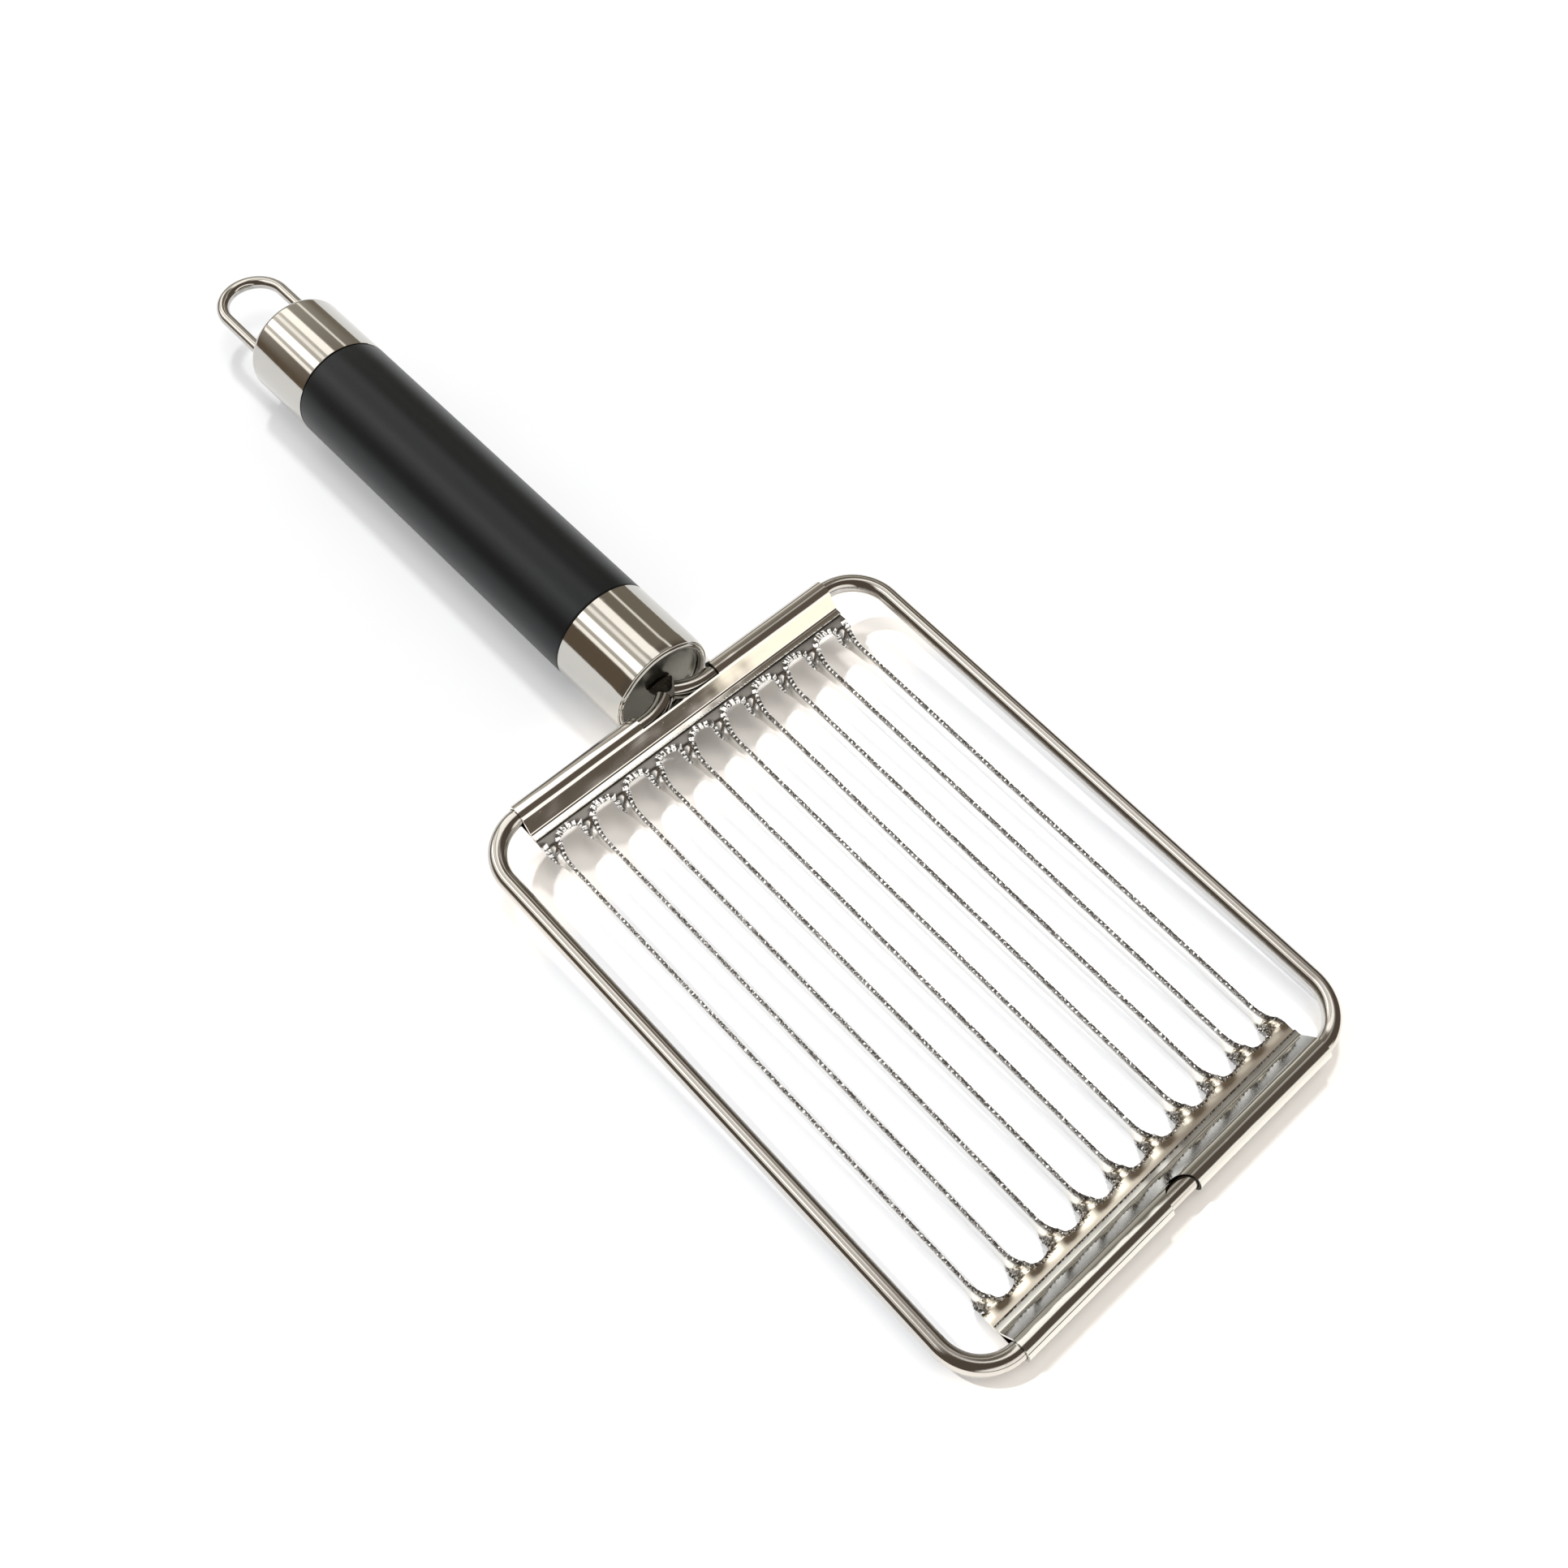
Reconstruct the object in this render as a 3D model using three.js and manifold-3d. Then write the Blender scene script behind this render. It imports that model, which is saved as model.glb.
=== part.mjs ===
// Hand-held egg slicer: a rectangular head of thin upright blades on a round handle with a hanging loop.
// Millimetres, +Z up. The tool lies flat: handle along X, head towards +X, floor at z = 0.
import * as THREE from 'three';
import { mergeVertices } from 'three/addons/utils/BufferGeometryUtils.js';
import Module from 'manifold-3d';

const wasm = await Module();
wasm.setup();

// ---- Driving dimensions ----

// Handle
const handleRadius = 11;
const gripLength = 82.5;
const ferruleLength = 17.6;
const ferruleWall = 0.8;
const lipWidth = 1.6;
const lipDepth = 1.1;
const tailShoulder = 1.3;
const spigotLength = 8;
const gripBore = 6.5;
const endDiscThickness = 1.2;
const studRadius = 3;
const studLength = 45;
const plugNose = 14;

// Hanging loop
const loopWire = 1.3;
const loopSpread = 6.8;
const loopReach = 21.6;
const loopPlateThickness = 1;
const loopTail = 1.5;

// Head rod
const rodRadius = 1.75;
const headWidth = 92.5;
const headLength = 123.5;
const cornerRadius = 9;
const railLift = 0.23;
const tangBendRadius = 9.6;
const tangBendAngle = THREE.MathUtils.degToRad(38);

// Blade sheet
const sheet = 0.5;
const flapReach = 5.2;
const slopeAngle = THREE.MathUtils.degToRad(32);
const bladeCount = 10;
const bladeHeight = 3.8;
const nearRim = 1.4;
const farRim = 2.15;
const twistLength = 6;
const slotEndDepth = 1.1;
const farNotchWidth = 6.6;
const farNotchDepth = 2;

// Weld bead between the rod's ends and the end disc
const weldReach = 3;
const weldHalfSpan = 3.2;
const weldHalfRise = 1.5;

// Clearances
const slideFit = 0.15;
const seam = 0.15;
const wrapFit = 0.12;
const foldGap = 0.1;
const weldGap = 0.3;
const rimGap = 1.13;
const tangGap = 0.42;
const notchMargin = 0.2;

// Facets
const roundSides = 32;
const rodSides = 10;
const notchSides = 16;
const weldSides = 16;
const weldRings = 10;
const edgeSteps = 4;
const tangSteps = 4;
const cornerSteps = 6;
const loopSteps = 14;
const baySteps = 6;
const twistSteps = 5;
const wrapStep = THREE.MathUtils.degToRad(18);

// Colours
const steelColour = 0xbdb8ae;
const weldColour = 0x3b342e;
const gripColour = 0x1b1c1d;
const plugColour = 0x2b2b2b;

// ---- Sizes that follow ----

const gripFront = -ferruleLength;
const gripBack = gripFront - gripLength;
const tailFace = gripBack - ferruleLength;
const boreOfFerrule = handleRadius - ferruleWall;
const spigotRadius = boreOfFerrule - slideFit;
const noseRadius = gripBore - slideFit;
const wrapInner = rodRadius + wrapFit;
const wrapMiddle = wrapInner + sheet / 2;
const webTop = -wrapInner;
const webBottom = webTop - sheet;
const halfWidth = headWidth / 2;
const railLength = headWidth - 2 * cornerRadius;
const railStandoff = wrapInner + sheet + rimGap;
const tangBendStart = (tangBendRadius + rodRadius) * Math.sin(tangBendAngle) + tangGap / 2;
const nearNotchWidth = 2 * (handleRadius - lipWidth - notchMargin);
const nearNotchEdge = wrapMiddle * Math.cos(slopeAngle) - notchMargin;
const bladePitch = (railLength - bladeHeight) / (bladeCount - 1);
const outerBlade = (railLength - bladeHeight) / 2;
const nearSetback = flapReach + nearRim;
const farSetback = flapReach + farRim;
const frontPlugFace = -lipDepth - endDiscThickness - 2 * slideFit;
const frontSpigotEnd = gripFront + spigotLength + slideFit;
const studFront = frontPlugFace + slideFit / 2;
const loopPlateBack = tailFace + ferruleWall + tailShoulder + slideFit;
const loopPlateFront = loopPlateBack + loopPlateThickness;
const legEnd = loopPlateFront + loopTail;
const tailPlugFace = legEnd + slideFit;
const tailSpigotEnd = gripBack - spigotLength - slideFit;

// ---- Helpers ----

function closed(geometry) {
  const bare = geometry.clone();
  bare.deleteAttribute('normal');
  bare.deleteAttribute('uv');
  const merged = mergeVertices(bare, 1e-4);
  const corners = merged.index.array;
  const kept = [];
  for (let i = 0; i < corners.length; i += 3) {
    const [a, b, c] = [corners[i], corners[i + 1], corners[i + 2]];
    if (a !== b && b !== c && c !== a) kept.push(a, b, c);
  }
  merged.setIndex(kept);
  return facingOut(merged);
}

function facingOut(geometry) {
  const place = geometry.attributes.position;
  const corners = geometry.index.array;
  const [a, b, c] = [new THREE.Vector3(), new THREE.Vector3(), new THREE.Vector3()];
  let volume = 0;
  for (let i = 0; i < corners.length; i += 3) {
    a.fromBufferAttribute(place, corners[i]);
    b.fromBufferAttribute(place, corners[i + 1]);
    c.fromBufferAttribute(place, corners[i + 2]);
    volume += a.dot(b.cross(c));
  }
  if (volume < 0) geometry.setIndex(Array.from(corners).reverse());
  return geometry;
}

function solid(geometry) {
  const mesh = closed(geometry);
  const vertProperties = new Float32Array(mesh.attributes.position.array);
  const triVerts = new Uint32Array(mesh.index.array);
  return new wasm.Manifold(new wasm.Mesh({ numProp: 3, vertProperties, triVerts }));
}

function geometryOf(manifold) {
  const mesh = manifold.getMesh();
  const geometry = new THREE.BufferGeometry();
  geometry.setAttribute('position', new THREE.BufferAttribute(new Float32Array(mesh.vertProperties), 3));
  geometry.setIndex(Array.from(mesh.triVerts));
  return geometry;
}

function part(name, geometry, colour, roughness, metalness) {
  const finish = new THREE.MeshStandardMaterial({ color: colour, roughness, metalness });
  const mesh = new THREE.Mesh(geometry, finish);
  mesh.name = name;
  return mesh;
}

const steel = (name, geometry) => part(name, geometry, steelColour, 0.2, 1);
const polymer = (name, geometry, colour) => part(name, geometry, colour, 0.55, 0);

// A body turned about the handle's axis from [axial, radius] points; its flats touch the stated radius.
function turned(profile) {
  const flatToCorner = 1 / Math.cos(Math.PI / roundSides);
  const outline = profile.map(([axial, radius]) => new THREE.Vector2(radius * flatToCorner, axial));
  const onAxis = profile[0][1] === 0;
  if (!onAxis) outline.push(outline[0].clone());
  const body = new THREE.LatheGeometry(outline, roundSides, Math.PI / roundSides);
  return body.rotateZ(-Math.PI / 2);
}

function quarter(centreAxial, centreRadius, radius, from, to, steps = edgeSteps) {
  return Array.from({ length: steps + 1 }, (_, i) => {
    const angle = from + (to - from) * i / steps;
    return [centreAxial + radius * Math.cos(angle), centreRadius + radius * Math.sin(angle)];
  });
}

// A block that cuts right through the head's height.
function throughBlock(x0, x1, halfSpan) {
  const box = new THREE.BoxGeometry(x1 - x0, 2 * halfSpan, 2 * handleRadius);
  return solid(box.translate((x0 + x1) / 2, 0, 0));
}

function bar(radius, x0, x1, y = 0) {
  const cylinder = new THREE.CylinderGeometry(radius, radius, x1 - x0, rodSides);
  return cylinder.rotateZ(Math.PI / 2).translate((x0 + x1) / 2, y, 0);
}

// A path that is sampled only at its own stations: one at each end of a straight, several round a bend.
class StationPath extends THREE.Curve {
  constructor(stations) {
    super();
    this.stations = stations;
  }

  station(u) {
    return this.stations[Math.round(u * (this.stations.length - 1))];
  }

  getPointAt(u) {
    return this.station(u).point.clone();
  }

  getTangentAt(u) {
    return this.station(u).heading.clone();
  }
}

function bend(centreX, centreY, radius, from, to, steps) {
  return Array.from({ length: steps + 1 }, (_, i) => {
    const angle = from + (to - from) * i / steps;
    const turn = Math.sign(to - from);
    return {
      point: new THREE.Vector3(centreX + radius * Math.cos(angle), centreY + radius * Math.sin(angle), 0),
      heading: new THREE.Vector3(-Math.sin(angle) * turn, Math.cos(angle) * turn, 0),
    };
  });
}

function rodAlong(stations, radius) {
  const section = new THREE.Shape();
  section.absarc(0, 0, radius, 0, 2 * Math.PI);
  return new THREE.ExtrudeGeometry(section, {
    steps: stations.length - 1,
    curveSegments: rodSides,
    extrudePath: new StationPath(stations),
  });
}

// ---- Head rod: one round rod bent to a rectangle, its two ends turned in to the handle ----

function headRodStations() {
  const { PI } = Math;
  const [near, far] = [cornerRadius, headLength - cornerRadius];
  const side = halfWidth - cornerRadius;
  return [
    ...bend(-tangBendRadius, -tangBendStart, tangBendRadius, tangBendAngle, 0, tangSteps),
    ...bend(near, -side, cornerRadius, -PI, -PI / 2, cornerSteps),
    ...bend(far, -side, cornerRadius, -PI / 2, 0, cornerSteps),
    ...bend(far, side, cornerRadius, 0, PI / 2, cornerSteps),
    ...bend(near, side, cornerRadius, PI / 2, PI, cornerSteps),
    ...bend(-tangBendRadius, tangBendStart, tangBendRadius, 0, -tangBendAngle, tangSteps),
  ];
}

// ---- Blade sheet: rails folded round the rod, joined by twisted strips ----

// The middle line of the sheet across a rail, from the web, under the rod, round it and back on to the web.
function railLine(webReach) {
  const line = [[webReach, -wrapMiddle]];
  const arcFrom = -Math.PI / 2;
  const arcTo = -2 * Math.PI + slopeAngle;
  const steps = Math.round((arcFrom - arcTo) / wrapStep);
  for (let i = 0; i <= steps; i += 1) {
    const angle = arcFrom + (arcTo - arcFrom) * i / steps;
    line.push([wrapMiddle * Math.cos(angle), wrapMiddle * Math.sin(angle)]);
  }
  const flapHeight = -wrapMiddle + sheet + foldGap;
  const [slopeX, slopeZ] = line[line.length - 1];
  const flapStart = slopeX + (slopeZ - flapHeight) * Math.tan(slopeAngle);
  line.push([flapStart, flapHeight], [flapReach, flapHeight]);
  return line;
}

function thickened(line, thickness) {
  const points = line.map(([x, z]) => new THREE.Vector2(x, z));
  const normalOf = (a, b) => new THREE.Vector2(a.y - b.y, b.x - a.x).normalize();
  const sides = [[], []];
  points.forEach((point, i) => {
    const [first, last] = [Math.max(i, 1), Math.min(i, points.length - 2)];
    const before = normalOf(points[first - 1], points[first]);
    const after = normalOf(points[last], points[last + 1]);
    const mitre = before.clone().add(after).normalize();
    const offset = mitre.multiplyScalar(thickness / 2 / mitre.dot(before));
    sides[0].push(point.clone().add(offset));
    sides[1].push(point.clone().sub(offset));
  });
  return new THREE.Shape([...sides[0], ...sides[1].reverse()]);
}

function rail(webReach) {
  const section = thickened(railLine(webReach), sheet);
  const body = new THREE.ExtrudeGeometry(section, { depth: railLength, bevelEnabled: false });
  return body.rotateX(Math.PI / 2).translate(0, railLength / 2, 0);
}

// The flat web from the rail to the slots, with one rounded bay between every two blades.
function web(setback) {
  const bay = (bladePitch - bladeHeight) / 2;
  const root = setback + slotEndDepth;
  const edge = railLength / 2;
  const outline = new THREE.Shape();
  const start = setback - 2 * sheet;
  outline.moveTo(start, -edge);
  outline.lineTo(root, -edge);
  for (let i = 0; i < bladeCount - 1; i += 1) {
    const middle = -outerBlade + (i + 0.5) * bladePitch;
    outline.lineTo(root, middle - bay);
    outline.absellipse(root, middle, slotEndDepth, bay, -Math.PI / 2, Math.PI / 2, true, 0);
  }
  outline.lineTo(root, edge);
  outline.lineTo(start, edge);
  outline.closePath();
  const plate = { depth: sheet, bevelEnabled: false, curveSegments: baySteps };
  return new THREE.ExtrudeGeometry(outline, plate).translate(0, 0, webBottom);
}

// Where a strip is drawn along its length, and how far it has turned there: 0 is flat and 1 is upright.
const stripStations = twistStations();

function twistStations() {
  const twist = Array.from({ length: twistSteps + 1 }, (_, i) => {
    const run = i / twistSteps;
    return { run: slotEndDepth + run * twistLength, turn: 1 - (1 - run) ** 2 };
  });
  twist.unshift({ run: 0, turn: 0 });
  const upright = Math.PI / 2;
  const near = twist.map(({ run, turn }) => ({ x: nearSetback + run, angle: turn * upright }));
  const farRoot = headLength - farSetback;
  const far = twist.map(({ run, turn }) => ({ x: farRoot - run, angle: turn * upright }));
  return [...near, ...far.reverse()];
}

// The strip's middle sinks as it turns, so that its top edge stays level with the web.
function stripMiddle(angle) {
  return webTop - sheet / 2 - (bladeHeight - sheet) / 2 * Math.sin(angle);
}

function strip(y) {
  const span = stripStations.length - 1;
  const body = new THREE.BoxGeometry(span, bladeHeight, sheet, span, 1, 1);
  const place = body.attributes.position;
  for (let i = 0; i < place.count; i += 1) {
    const { x, angle } = stripStations[Math.round(place.getX(i) + span / 2)];
    const [across, through] = [place.getY(i), place.getZ(i)];
    const offsetY = across * Math.cos(angle) - through * Math.sin(angle);
    const offsetZ = across * Math.sin(angle) + through * Math.cos(angle);
    place.setXYZ(i, x, y + offsetY, stripMiddle(angle) + offsetZ);
  }
  return body;
}

// The head leans down from the handle until the first of the blades' lower edges reaches the floor.
function restingTilt() {
  const railHeight = handleRadius + railLift;
  return Math.min(...stripStations.map(({ x, angle }) => {
    const halfDrop = bladeHeight / 2 * Math.sin(angle) + sheet / 2 * Math.cos(angle);
    const depth = halfDrop - stripMiddle(angle);
    const reach = Math.hypot(x, depth);
    return reach > railHeight ? Math.asin(railHeight / reach) - Math.atan2(depth, x) : Infinity;
  }));
}

function bladePlate() {
  const nearNotch = throughBlock(-handleRadius, nearNotchEdge, nearNotchWidth / 2);
  const nearRail = solid(rail(nearSetback)).subtract(nearNotch);

  const notchRadius = farNotchWidth / 2;
  const notchCentre = farNotchDepth - notchRadius;
  const drill = new THREE.CylinderGeometry(notchRadius, notchRadius, 2 * handleRadius, notchSides);
  drill.rotateX(Math.PI / 2).translate(notchCentre, 0, 0);
  const farNotch = solid(drill).add(throughBlock(-handleRadius, notchCentre, notchRadius));
  const farRail = solid(rail(farSetback)).subtract(farNotch);

  const toFarEnd = (body) => body.rotate([0, 0, 180]).translate([headLength, 0, 0]);
  let plate = nearRail.add(solid(web(nearSetback)));
  plate = plate.add(toFarEnd(farRail)).add(toFarEnd(solid(web(farSetback))));
  for (let i = 0; i < bladeCount; i += 1) {
    plate = plate.add(solid(strip(-outerBlade + i * bladePitch)));
  }
  return geometryOf(plate);
}

// ---- Weld between the rod's ends and the handle's end disc ----

function tangWeld(rodStations) {
  const weldFace = -railStandoff - lipDepth - slideFit + weldGap;
  const bead = new THREE.SphereGeometry(1, weldSides, weldRings);
  bead.scale(weldReach, weldHalfSpan, weldHalfRise).translate(weldFace, 0, 0);
  const behindFace = throughBlock(weldFace - handleRadius, weldFace, handleRadius);
  const roomForRod = rodAlong(rodStations, rodRadius + weldGap);
  return geometryOf(solid(bead).subtract(behindFace).subtract(solid(roomForRod)));
}

// ---- Handle, turned about its own axis; x = 0 at the front rim, the tail towards -X ----

function frontFerrule() {
  const lipRound = lipWidth / 4;
  const lipInner = handleRadius - lipWidth;
  return turned([
    [gripFront, boreOfFerrule],
    [gripFront, handleRadius],
    ...quarter(-lipRound * 2, handleRadius - lipRound * 2, lipRound * 2, Math.PI / 2, 0),
    ...quarter(-lipRound, lipInner + lipRound, lipRound, 0, -Math.PI / 2),
    [-lipDepth, lipInner],
    [-lipDepth, boreOfFerrule],
  ]);
}

function endDisc() {
  const front = -lipDepth - slideFit;
  const back = front - endDiscThickness;
  return turned([[back, 0], [back, spigotRadius], [front, spigotRadius], [front, 0]]);
}

function plug(face, spigotEnd, noseEnd, boreRadius) {
  return turned([
    [face, boreRadius],
    [face, spigotRadius],
    [spigotEnd, spigotRadius],
    [spigotEnd, noseRadius],
    [noseEnd, noseRadius],
    [noseEnd, boreRadius],
  ]);
}

function gripSleeve() {
  return turned([
    [gripBack - spigotLength, gripBore],
    [gripBack - spigotLength, spigotRadius],
    [gripBack + seam, spigotRadius],
    [gripBack + seam, handleRadius],
    [gripFront - seam, handleRadius],
    [gripFront - seam, spigotRadius],
    [gripFront + spigotLength, spigotRadius],
    [gripFront + spigotLength, gripBore],
  ]);
}

function legHoles(from, to) {
  const hole = loopWire + slideFit;
  return solid(bar(hole, from, to, loopSpread)).add(solid(bar(hole, from, to, -loopSpread)));
}

function tailFerrule() {
  const { PI } = Math;
  const inner = Math.max(tailShoulder - ferruleWall, ferruleWall / 4);
  const innerFace = tailFace + ferruleWall;
  const innerSteps = edgeSteps / 2;
  const cup = turned([
    [innerFace, 0],
    ...quarter(innerFace + inner, boreOfFerrule - inner, inner, PI, PI / 2, innerSteps),
    [gripBack, boreOfFerrule],
    [gripBack, handleRadius],
    ...quarter(tailFace + tailShoulder, handleRadius - tailShoulder, tailShoulder, PI / 2, PI),
    [tailFace, 0],
  ]);
  return geometryOf(solid(cup).subtract(legHoles(tailFace - ferruleWall, innerFace + ferruleWall)));
}

function loopPlate() {
  const plate = turned([
    [loopPlateBack, 0],
    [loopPlateBack, spigotRadius],
    [loopPlateFront, spigotRadius],
    [loopPlateFront, 0],
  ]);
  return geometryOf(solid(plate).subtract(legHoles(loopPlateBack - loopTail, legEnd)));
}

function hangingLoop() {
  const loopCentre = tailFace - loopReach + loopSpread;
  const heading = (x) => new THREE.Vector3(x, 0, 0);
  const stations = [
    { point: new THREE.Vector3(legEnd, loopSpread, 0), heading: heading(-1) },
    ...bend(loopCentre, 0, loopSpread, Math.PI / 2, 3 * Math.PI / 2, loopSteps),
    { point: new THREE.Vector3(legEnd, -loopSpread, 0), heading: heading(1) },
  ];
  return rodAlong(stations, loopWire);
}

// ---- Assembly ----

const rodStations = headRodStations();
const head = new THREE.Group();
head.add(
  steel('frame_rod', closed(rodAlong(rodStations, rodRadius))),
  steel('blade_plate', bladePlate()),
  part('tang_weld', tangWeld(rodStations), weldColour, 0.7, 1),
);
head.position.set(railStandoff, 0, railLift);
head.rotation.y = restingTilt();

const frontNose = frontSpigotEnd - plugNose;
const frontPlug = plug(frontPlugFace, frontSpigotEnd, frontNose, studRadius + slideFit);
const noBore = 0;
const tailPlug = plug(tailPlugFace, tailSpigotEnd, tailSpigotEnd + plugNose, noBore);

const handle = new THREE.Group();
handle.add(
  steel('front_ferrule', closed(frontFerrule())),
  steel('end_disc', closed(endDisc())),
  steel('tang_stud', closed(bar(studRadius, studFront - studLength, studFront))),
  polymer('front_plug', closed(frontPlug), plugColour),
  polymer('grip', closed(gripSleeve()), gripColour),
  steel('tail_ferrule', tailFerrule()),
  steel('loop_plate', loopPlate()),
  polymer('tail_plug', closed(tailPlug), plugColour),
  steel('hanging_loop', closed(hangingLoop())),
);

const slicer = new THREE.Group();
slicer.add(head, handle);
slicer.updateMatrixWorld(true);
const extent = new THREE.Box3().setFromObject(slicer, true);
const middle = extent.getCenter(new THREE.Vector3());
slicer.position.set(-middle.x, -middle.y, -extent.min.z);

export default slicer;
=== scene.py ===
"""Hand-held egg slicer: the finished look, built round the fixed frame.

Lengths in the sizes below are millimetres; a mesh is turned to metres when it is made.
"""
import math

import bmesh
import bpy
import numpy as np
from mathutils import Matrix, Vector


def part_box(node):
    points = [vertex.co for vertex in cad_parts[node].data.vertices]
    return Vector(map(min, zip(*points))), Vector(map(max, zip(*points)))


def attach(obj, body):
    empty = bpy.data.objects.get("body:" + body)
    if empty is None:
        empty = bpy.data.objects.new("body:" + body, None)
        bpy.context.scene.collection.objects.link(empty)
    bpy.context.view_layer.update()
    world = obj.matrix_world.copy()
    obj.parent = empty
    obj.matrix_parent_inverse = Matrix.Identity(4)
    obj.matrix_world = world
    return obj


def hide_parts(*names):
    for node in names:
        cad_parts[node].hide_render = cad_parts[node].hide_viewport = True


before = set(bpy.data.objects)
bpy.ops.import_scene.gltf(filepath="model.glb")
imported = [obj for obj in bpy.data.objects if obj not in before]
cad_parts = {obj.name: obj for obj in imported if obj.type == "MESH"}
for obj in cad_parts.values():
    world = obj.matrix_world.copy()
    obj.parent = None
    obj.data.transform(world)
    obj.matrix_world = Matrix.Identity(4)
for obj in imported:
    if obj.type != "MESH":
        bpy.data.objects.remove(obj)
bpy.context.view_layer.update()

MM = 0.001
PI = math.pi

# ---- Sizes, in millimetres ----

# Handle
FERRULE_LENGTH = 17.6
GRIP_LENGTH = 82.5
FERRULE_WALL = 0.8
LIP_DEPTH = 1.1
LIP_INNER = 9.4
DISC_THICKNESS = 1.2
DISC_CLEARANCE = 0.15
SPIGOT_LENGTH = 8.0
SPIGOT_RADIUS = 10.05
GRIP_BORE = 6.5
GRIP_SEAM = 0.15
TAIL_SHOULDER = 1.3

# Hanging loop
LOOP_WIRE = 1.3
LOOP_SPREAD = 6.8
LOOP_REACH = 21.6
LOOP_LEG_END = -112.9
LEG_HOLE = 1.47

# Head rod
ROD_RADIUS = 1.75
HEAD_LENGTH = 123.5
HALF_WIDTH = 46.25
CORNER_RADIUS = 9.0
RAIL_STANDOFF = 3.5
RAIL_LIFT = 0.23
TANG_RADIUS = 9.6
TANG_START = 7.2
TANG_ANGLE = math.radians(38)
TANG_TAPER = 0.58
ROD_TIP_ROUNDING = 0.45

# Blade sheet
SHEET = 0.5
WRAP_MIDDLE = 2.12
RAIL_HALF = 37.25
SLOPE = math.radians(36)
FLAP_REACH = 5.2
FLAP_FILLET = 0.9
FOLD_GAP = 0.1
SLOPE_RUN = 1.6
NOSE = 0.34
NOSE_ROUNDING = 0.12
NEAR_RIM = 1.4
FAR_RIM = 2.15
BLADES = 10
BLADE_HEIGHT = 3.8
BAY_DEPTH = 1.1
WEB_START = 4.4
NEAR_TWIST = 6.0
FAR_TWIST = 4.6
TWIST_LEAD = 0.9
TWIST_START_POWER = 1.5
TWIST_END_POWER = 2.4
WEB_WAVE = 0.10
WAVE_END = 1.2
NEAR_NOTCH_EDGE = 1.6
NEAR_NOTCH_HALF = 9.2
FAR_NOTCH_RADIUS = 3.3
FAR_NOTCH_DEPTH = 2.0
OUTSIDE_WRAP = -6.0
CUTTER_DEPTH = 20.0

# Serration
TOOTH_PITCH = 0.95
TOOTH_WIDTH = 0.88
TOOTH_LENGTH = 1.2
TOP_EDGE_SHARE = 0.5
TOOTH_REACH = 0.15
TOOTH_UNEVENNESS = 0.12
TOOTH_SEED = 4
RIM_BAND = 1.1
RIM_FADE = 0.25
NEAR_RIM_IN_WEB = 4.0
FAR_RIM_IN_WEB = 0.5
# Where the painted shade of the far roots lies.
FAR_ROOT_START = 0.2
FAR_ROOT = 2.4
FAR_ROOT_EDGE = -0.15
NEAR_ROOT = 8.0
# Painted shade on the near web and on the near roots.
WEB_SHADE = 0.84
ROOT_SHADE = 0.8
LOW_EDGE_TEETH = 3.0

# Sizes that follow
GRIP_FRONT = -FERRULE_LENGTH
GRIP_BACK = GRIP_FRONT - GRIP_LENGTH
TAIL_FACE = GRIP_BACK - FERRULE_LENGTH
PITCH = (2 * RAIL_HALF - BLADE_HEIGHT) / (BLADES - 1)
WEB_TOP = -(WRAP_MIDDLE - SHEET / 2)
NEAR_SETBACK = FLAP_REACH + NEAR_RIM
FAR_SETBACK = FLAP_REACH + FAR_RIM
HALF_BLADE = BLADE_HEIGHT / 2 - TOOTH_REACH

# ---- Where the handle and the head sit in the frame ----

ferrule_low, ferrule_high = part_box("front_ferrule")
HANDLE_RADIUS = (ferrule_high.z - ferrule_low.z) / 2 / MM
RIM_X = ferrule_high.x / MM
AXIS_Z = (ferrule_high.z + ferrule_low.z) / 2 / MM
RAIL_HEIGHT = AXIS_Z + RAIL_LIFT
FAR_ROD_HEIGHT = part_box("frame_rod")[0].z / MM + ROD_RADIUS
TILT = math.asin((RAIL_HEIGHT - FAR_ROD_HEIGHT) / HEAD_LENGTH)

TO_METRES = Matrix.Scale(MM, 4)
HANDLE = TO_METRES @ Matrix.Translation((RIM_X, 0, AXIS_Z))
HEAD = (
    TO_METRES
    @ Matrix.Translation((RIM_X + RAIL_STANDOFF, 0, RAIL_HEIGHT))
    @ Matrix.Rotation(TILT, 4, "Y")
)
TO_FAR_END = Matrix.Translation((HEAD_LENGTH, 0, 0)) @ Matrix.Rotation(PI, 4, "Z")


# ---- Nodes ----


class Term:
    """One socket in a node tree. Arithmetic on it adds Math nodes."""

    def __init__(self, bench, socket):
        self.bench = bench
        self.socket = socket

    def math(self, operation, *values):
        inputs = dict(enumerate(values))
        return self.bench.node("ShaderNodeMath", {"operation": operation}, inputs)

    def __add__(self, other):
        return self.math("ADD", self, other)

    def __radd__(self, other):
        return self.math("ADD", other, self)

    def __sub__(self, other):
        return self.math("SUBTRACT", self, other)

    def __rsub__(self, other):
        return self.math("SUBTRACT", other, self)

    def __mul__(self, other):
        return self.math("MULTIPLY", self, other)

    def __rmul__(self, other):
        return self.math("MULTIPLY", other, self)

    def __truediv__(self, other):
        return self.math("DIVIDE", self, other)

    def root(self):
        return self.math("SQRT", self)

    def step(self, start, end):
        """0 before start and 1 after end, with a soft passage between."""
        return self.bench.node(
            "ShaderNodeMapRange",
            {"interpolation_type": "SMOOTHSTEP"},
            {"Value": self, "From Min": start, "From Max": end},
        )

    def band(self, start, end, soft):
        """1 between start and end, and 0 outside."""
        return self.step(start - soft, start + soft) * (1 - self.step(end - soft, end + soft))


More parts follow.
